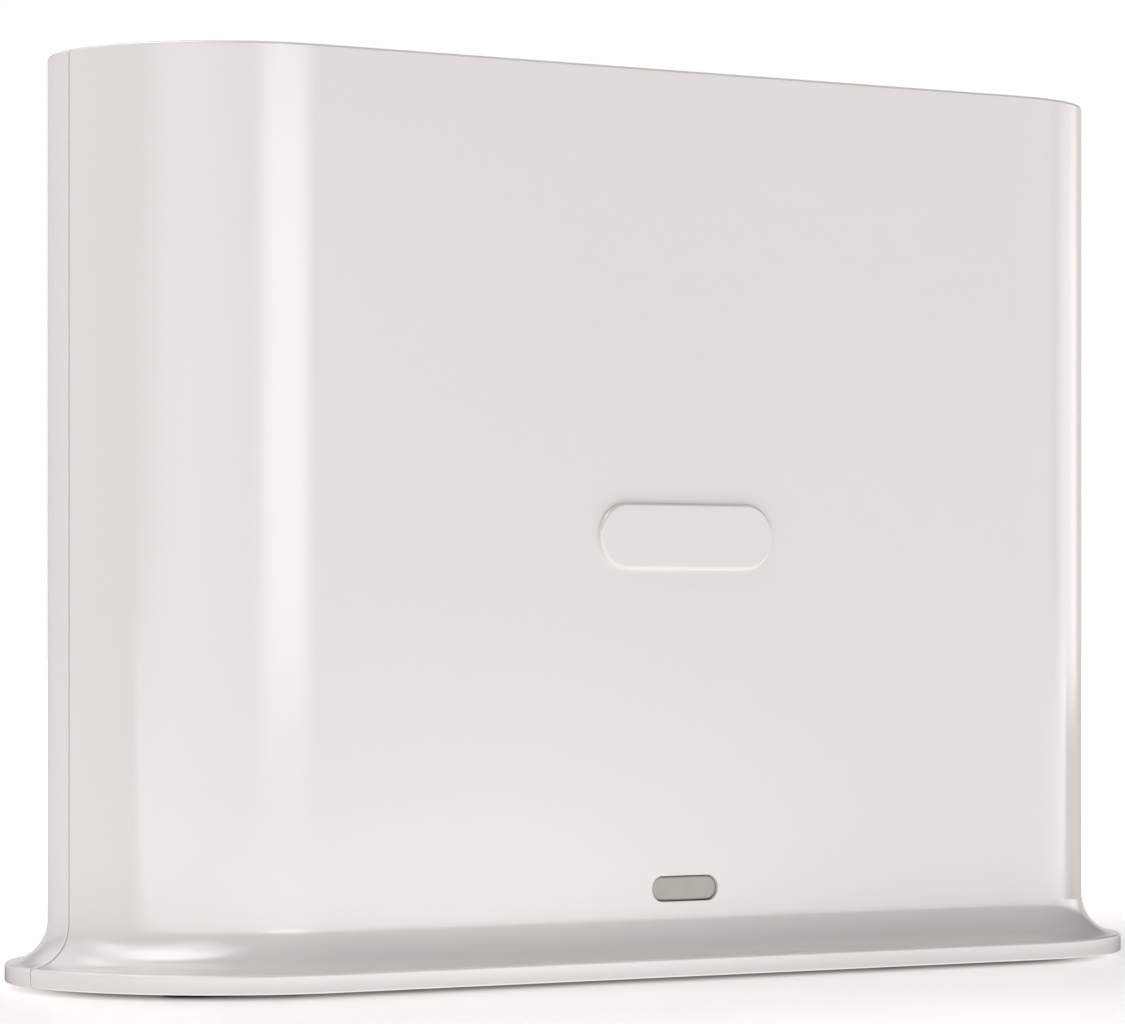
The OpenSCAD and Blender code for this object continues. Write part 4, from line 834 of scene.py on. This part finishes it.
# Siren
# A round black housing screwed behind the grille, with a thin brass sounding disc on a step inside it.
# A foam ring seals it to the wall, and a disc of fine cloth keeps dust out of the grille's holes.
gasket_r, gasket_in_r, gasket_low = mms(18, 14.5, 20.1)
gasket_edge, gasket_lead = mms(0.25, 0.01)
cloth_r, cloth_t, cloth_square, cloth_relief = mms(14.4, 0.3, 0.55, 0.15)
cloth_rings = 12
gasket_t = inner_r - gasket_low
gasket = lathe(
    [(gasket_in_r, 0), (gasket_r - gasket_lead, 0), (gasket_r, gasket_edge),
     (gasket_r, gasket_t - gasket_edge)] + rounded(gasket_r, gasket_t, gasket_edge, -1)[::-1][1:]
    + [(gasket_in_r, gasket_t), (gasket_in_r, 0)], (0, gasket_low, siren_z), (0, 1, 0))
# Closed-cell foam: black, dull and full of cells of about 0.5 mm
foam = grained("closed_cell_foam", "#323234", "#232325", (0.85, 0.97), 0.5, 0.08, 1, IOR=1.4)
settle(gasket, "siren_foam_ring", "gasket_foam", foam, "siren_gasket")
weave_rs = [cloth_r * ring / cloth_rings for ring in range(cloth_rings + 1)]
cloth = lathe([(r, 0) for r in weave_rs] + [(r, cloth_t) for r in weave_rs[::-1]],
              (0, inner_r - cloth_t, siren_z), (0, 1, 0))
# Woven polyester: black threads that pass over and under in squares of two. The real ones are 0.2 mm
# apart, and they are drawn 0.28 mm apart so that they show. A wave's band is pi / (10 * scale) wide
fabric = blank("woven_black_polyester")
place = add(fabric, "TexCoord").outputs["Object"]
warp, weft = (
    add(fabric, "TexWave", {"Vector": place, "Scale": math.pi / (10 * cloth_square) * 2},
        bands_direction=way).outputs["Fac"] for way in "XZ")
over = add(fabric, "TexChecker", {"Vector": place, "Scale": 1 / cloth_square}).outputs["Fac"]
weave = add(fabric, "Mix", {0: over, 2: warp, 3: weft})
shade = add(fabric, "Mix", {0: weave, 6: linear("#141416"), 7: linear("#37373b")}, data_type="RGBA")
bump = add(fabric, "Bump", {"Height": weave, "Distance": cloth_relief})
skin = add(fabric, "BsdfPrincipled", {
    "Base Color": shade.outputs[2], "Roughness": 0.85, "Normal": bump, "Sheen Weight": 0.3, "IOR": 1.5})
add(fabric, "OutputMaterial", {"Surface": skin})
settle(cloth, "grille_cloth_disc", "cloth_black", fabric, "grille_cloth")
keep(black_nylon, "siren_housing", "siren_back")
# Rolled brass: a yellow metal, faintly streaked along the rolling at about 1 mm
brass = grained("rolled_brass", "#d8b25c", "#c39c48", (0.28, 0.44), 1, 0.002, 5, Metallic=1)
keep(brass, "siren_disc")
keep(zinc, "siren_screws")
# Soft PVC: red insulation with a slight sheen and the ripple of its drawing at about 1 mm
red_pvc = grained("red_pvc", "#ad3f38", "#99332d", (0.38, 0.5), 1, 0.01, 4, IOR=1.53)
keep(red_pvc, "siren_lead")
# Natural nylon: a creamy white plug with a waxy sheen
cream_nylon = grained("natural_nylon", "#ebe6d9", "#e2dccb", (0.36, 0.46), 0.5, 0.004, 4, IOR=1.53)
keep(cream_nylon, "siren_plug")

# Main board
# A fibreglass board screwed to four posts of the rear cover. It carries the sockets and switches on its
# back, and the processor with its heat sink, the radio under a shield, and the memory on its front.
track_step, track_l, track_w, track_relief = mms(2.2, 9, 0.18, 0.03)
glass_step = 0.7 * mm
# Solder mask over copper and glass cloth: a deep green gloss, paler over the tracks, which are drawn
# 2.2 mm apart so that they show
board = blank("green_solder_mask")
place = add(board, "TexCoord").outputs["Object"]
turned = add(board, "Mapping", {"Vector": place, "Rotation": facing_y})
tracks = add(board, "TexBrick", {
    "Vector": turned, "Scale": 1, "Mortar Size": track_w, "Mortar Smooth": 0.2, "Brick Width": track_l,
    "Row Height": track_step, "Color1": linear("#2b5737"), "Color2": linear("#2f5d3b"),
    "Mortar": linear("#4c7d55")})
cells = add(board, "TexNoise", {"Vector": place, "Scale": 1 / glass_step, "Detail": 2})
bump = add(board, "Bump", {"Height": tracks.outputs["Fac"], "Distance": track_relief})
sheen = add(board, "MapRange", {"Value": cells, "To Min": 0.25, "To Max": 0.42})
skin = add(board, "BsdfPrincipled", {
    "Base Color": tracks.outputs["Color"], "Roughness": sheen, "Normal": bump, "IOR": 1.55})
add(board, "OutputMaterial", {"Surface": skin})
keep(board, "main_board", "left_antenna", "right_antenna")
keep(zinc, "board_screws")
keep(black_nylon, "processor", "memory_chips", "network_transformer")
# Silicone filled with ceramic powder: a chalky blue grey with a soft matt skin
grey_silicone = grained("filled_silicone", "#a3afbb", "#94a1ad", (0.6, 0.75), 0.4, 0.01, 3, IOR=1.43)
keep(grey_silicone, "thermal_pad")
# Extruded aluminium, clear anodised: a pale matt metal with the lines of the die at about 0.6 mm
anodised = grained("anodised_aluminium", "#c2c5c8", "#b2b5b9", (0.34, 0.48), 0.6, 0.004, 8, Metallic=1)
keep(anodised, "heat_sink")
keep(tinned_steel, "radio_shield")
# Shrunk PET sleeve: a dark blue grey film with a clear gloss, wrinkled at about 1 mm
sleeve_film = grained("shrunk_pet_sleeve", "#383c44", "#2d3037", (0.2, 0.32), 1, 0.01, 3, IOR=1.58)
keep(sleeve_film, "capacitors")
# Pressed ferrite: a dull dark grey ceramic, speckled at about 0.4 mm
ferrite = grained("pressed_ferrite", "#525357", "#414246", (0.55, 0.7), 0.4, 0.008, 1, IOR=2)
keep(ferrite, "power_coils")

# Antennas
# Two upright strips of the same board, held by ribs inside the ends. Thin coaxial cables with snap-on
# plugs join them to the main board.
# Extruded fluoropolymer jacket: a smooth grey with a satin sheen
grey_jacket = grained("grey_cable_jacket", "#525356", "#47484b", (0.4, 0.52), 0.6, 0.004, 3, IOR=1.4)
keep(grey_jacket, "left_antenna_cable", "right_antenna_cable")
keep(gold, "coax_plugs")

# Floor, backdrop and light
# A white lit table that runs out to a white backdrop, as for a catalogue picture. Most light comes up
# from the table, brightest ahead of the front's left part, and panels high at the left, at the right,
# behind and above add to it. Cards ahead, at both sides and behind show in the gloss alone.
floor_reach, floor_drop = 6, 0.01 * mm
shadow_from, shadow_to = rim_r - 10 * mm, rim_r + 1.5 * mm
table_light, table_shown, under_light = 1.5, 0.3, 0.2
fade_near, fade_far = mms(60, 500)
gloss_ahead, gloss_behind, gloss_right, gloss_turn = 2.6, 0.6, 0.7, 60 * mm
gloss_near, near_at, near_clear = 0.7, mms(0, -180, 0), 110 * mm
near_from, near_to = mms(90, 260)
glow_at, glow_reach, glow_level = mms(-36, -55, 0), 74 * mm, (1.6, 0.3)
glow_from, glow_top, glow_to = rim_r + 3 * mm, rim_r + 10 * mm, rim_r + 34 * mm
bpy.ops.mesh.primitive_plane_add(size=2 * floor_reach, location=(0, 0, -floor_drop))
floor = bpy.context.object
floor.name = "floor"
# Smooth white laminate, lit from within, which the object also shades for real. Under and round the
# object's footprint a shadow is painted into that glow, and shade is painted into its brightness in gloss
# near the object.
# It gives the object its light through diffuse rays, and from below it is clear, so that the underside
# can be seen
table = blank("lit_white_table")
table.cycles.emission_sampling = "NONE"
place = add(table, "TexCoord").outputs["Object"]
spot = add(table, "SeparateXYZ", (place,))
out_x = add(table, "Math", (spot.outputs["X"],), operation="ABSOLUTE")
out_x = add(table, "Math", (out_x, spine), operation="SUBTRACT")
out_x = add(table, "Math", (out_x, 0), operation="MAXIMUM")
flat = add(table, "CombineXYZ", {"X": out_x, "Y": spot.outputs["Y"]})
reach = add(table, "VectorMath", (flat,), operation="LENGTH").outputs["Value"]
off_glow, off_near = (
    add(table, "VectorMath", (place, at), operation="DISTANCE").outputs["Value"]
    for at in (glow_at, near_at))
# Ramps of the distance from the footprint paint a shadow into the table's glow under and round the
# object, for diffuse rays and for the eye, and paint shade into its brightness in gloss near the object
ramps = {}
for name, curve, *values in (
        ("clear", "SMOOTHERSTEP", reach, shadow_from, shadow_to, under_light, 1),
        ("rise", "SMOOTHSTEP", reach, glow_from, glow_top, 0, 1),
        ("fall", "SMOOTHSTEP", reach, glow_top, glow_to, 1, 0),
        ("side", "SMOOTHSTEP", off_glow, 0, glow_reach, *glow_level),
        ("far", "LINEAR", reach, fade_near, fade_far, table_shown, 1),
        ("lit", "SMOOTHSTEP", reach, shadow_from, rim_r, 0, 1),
        ("near", "SMOOTHSTEP", off_near, near_from, near_to, gloss_ahead + gloss_near, gloss_ahead),
        ("painted_shade_gloss", "SMOOTHSTEP", reach, shadow_from, near_clear, 0, 1)):
    ramps[name] = add(table, "MapRange", values, interpolation_type=curve)
ring = add(table, "Math", (ramps["rise"], ramps["fall"]), operation="MULTIPLY")
glow = add(table, "Math", (ring, ramps["side"], table_light), operation="MULTIPLY_ADD")
given = add(table, "Math", (ramps["clear"], glow), operation="MULTIPLY")
shown = add(table, "Math", (ramps["lit"], ramps["far"]), operation="MULTIPLY")
ahead = add(table, "MapRange", (spot.outputs["Y"], -gloss_turn, 0, ramps["near"], gloss_behind),
            interpolation_type="SMOOTHSTEP")
mirrored = add(table, "Math", (ramps["painted_shade_gloss"], ahead), operation="MULTIPLY")
skin = add(table, "BsdfPrincipled", {
    "Base Color": linear("#e8e6e4"), "Roughness": 0.3, "IOR": 1.2, "Emission Color": (1, 1, 1, 1),
    "Emission Strength": shown})
path = add(table, "LightPath")
for ray, strength in (("Is Diffuse Ray", given), ("Is Glossy Ray", mirrored)):
    light = add(table, "Emission", {"Strength": strength})
    skin = add(table, "MixShader", (path.outputs[ray], skin, light))
below = add(table, "NewGeometry").outputs["Backfacing"]
skin = add(table, "MixShader", (below, skin, add(table, "BsdfTransparent")))
add(table, "OutputMaterial", {"Surface": skin})
floor.data.materials.append(table)

# The backdrop is white to the eye. Gloss sees it bright low down and a grey ceiling above, and it gives
# little light. Its parts change over between two values of a direction's X, Y or Z
sky_light, ceiling_shown = 0.06, 0.2
right_from, right_to = 0.3, 0.55
behind_from, behind_to = -0.6, 0.1
ceiling_from, ceiling_to = 0.12, 0.2
studio = bpy.data.worlds.new("studio")
scene.world = studio
studio.cycles.sampling_method = "NONE"
studio.use_nodes = True
studio.node_tree.nodes.clear()
path = add(studio, "LightPath")
way = add(studio, "SeparateXYZ", (add(studio, "TexCoord").outputs["Generated"],))
behind = add(studio, "MapRange", (way.outputs["X"], right_from, right_to, gloss_behind, gloss_right))
front = add(studio, "MapRange", (way.outputs["Y"], behind_from, behind_to, gloss_ahead, behind),
            interpolation_type="SMOOTHSTEP")
ceiling = add(studio, "MapRange", (way.outputs["Z"], ceiling_from, ceiling_to, front, ceiling_shown),
              interpolation_type="SMOOTHSTEP")
dim = add(studio, "MapRange", (path.outputs["Is Diffuse Ray"], 0, 1, ceiling, sky_light))
strength = add(studio, "Mix", {0: path.outputs["Is Camera Ray"], 2: dim, 3: 1})
sky = add(studio, "Background", {"Color": (1, 1, 1, 1), "Strength": strength})
add(studio, "OutputWorld", {"Surface": sky})
panel_far, half = 2.5, 0.5


def softbox(name, azimuth, elevation, wide, tall, level, core=0.3, diffuse=True, gloss=True):
    """A panel that faces the object: its direction and size are angles seen from there, its level is a
    radiance, and it fades out beyond its core. A card is not diffuse, and a fill shows in no gloss."""
    turn, lift = math.radians(azimuth), math.radians(elevation)
    aim = Vector((math.cos(lift) * math.sin(turn), -math.cos(lift) * math.cos(turn), math.sin(lift)))
    lamp = bpy.data.lights.new(name, "AREA")
    lamp.shape = "RECTANGLE"
    lamp.size = 2 * panel_far * math.tan(math.radians(wide) / 2)
    lamp.size_y = 2 * panel_far * math.tan(math.radians(tall) / 2)
    lamp.energy = level * math.pi * lamp.size * lamp.size_y
    lamp.use_nodes = True
    edge = add(lamp, "SeparateXYZ", (add(lamp, "NewGeometry").outputs["Parametric"],))
    rows = []
    for way in "XY":
        off = add(lamp, "Math", (edge.outputs[way], half), operation="SUBTRACT")
        off = add(lamp, "Math", (off,), operation="ABSOLUTE")
        rows.append(add(
            lamp, "MapRange", (off, half * core, half, 1, 0), interpolation_type="SMOOTHSTEP"))
    fade = add(lamp, "Math", rows, operation="MULTIPLY")
    lamp.node_tree.links.new(fade.outputs[0], lamp.node_tree.nodes["Emission"].inputs["Strength"])
    panel = bpy.data.objects.new(name, lamp)
    panel.location = Vector((0, 0, casing_h / 2)) + panel_far * aim
    panel.rotation_euler = aim.to_track_quat("Z", "Y").to_euler()
    panel.visible_camera = False
    panel.visible_diffuse = diffuse
    panel.visible_glossy = gloss
    scene.collection.objects.link(panel)


softbox("front_panel", 8, 3, 46, 20, 3.3, diffuse=False)
softbox("side_card", 95, 1, 44, 22, 1.65, diffuse=False)
softbox("left_card", -84, 54, 90, 52, 3, core=0.5, diffuse=False)
softbox("rear_card", 205, 34, 100, 40, 1, diffuse=False)
softbox("high_panel", -88, 62, 56, 46, 4)
softbox("right_panel", 112, 60, 40, 44, 1.2, gloss=False)
softbox("rear_panel", 175, 56, 60, 40, 2.6)
softbox("top_strip", 0, 80, 110, 18, 1.6, gloss=False)
scene.view_settings.view_transform = "Standard"
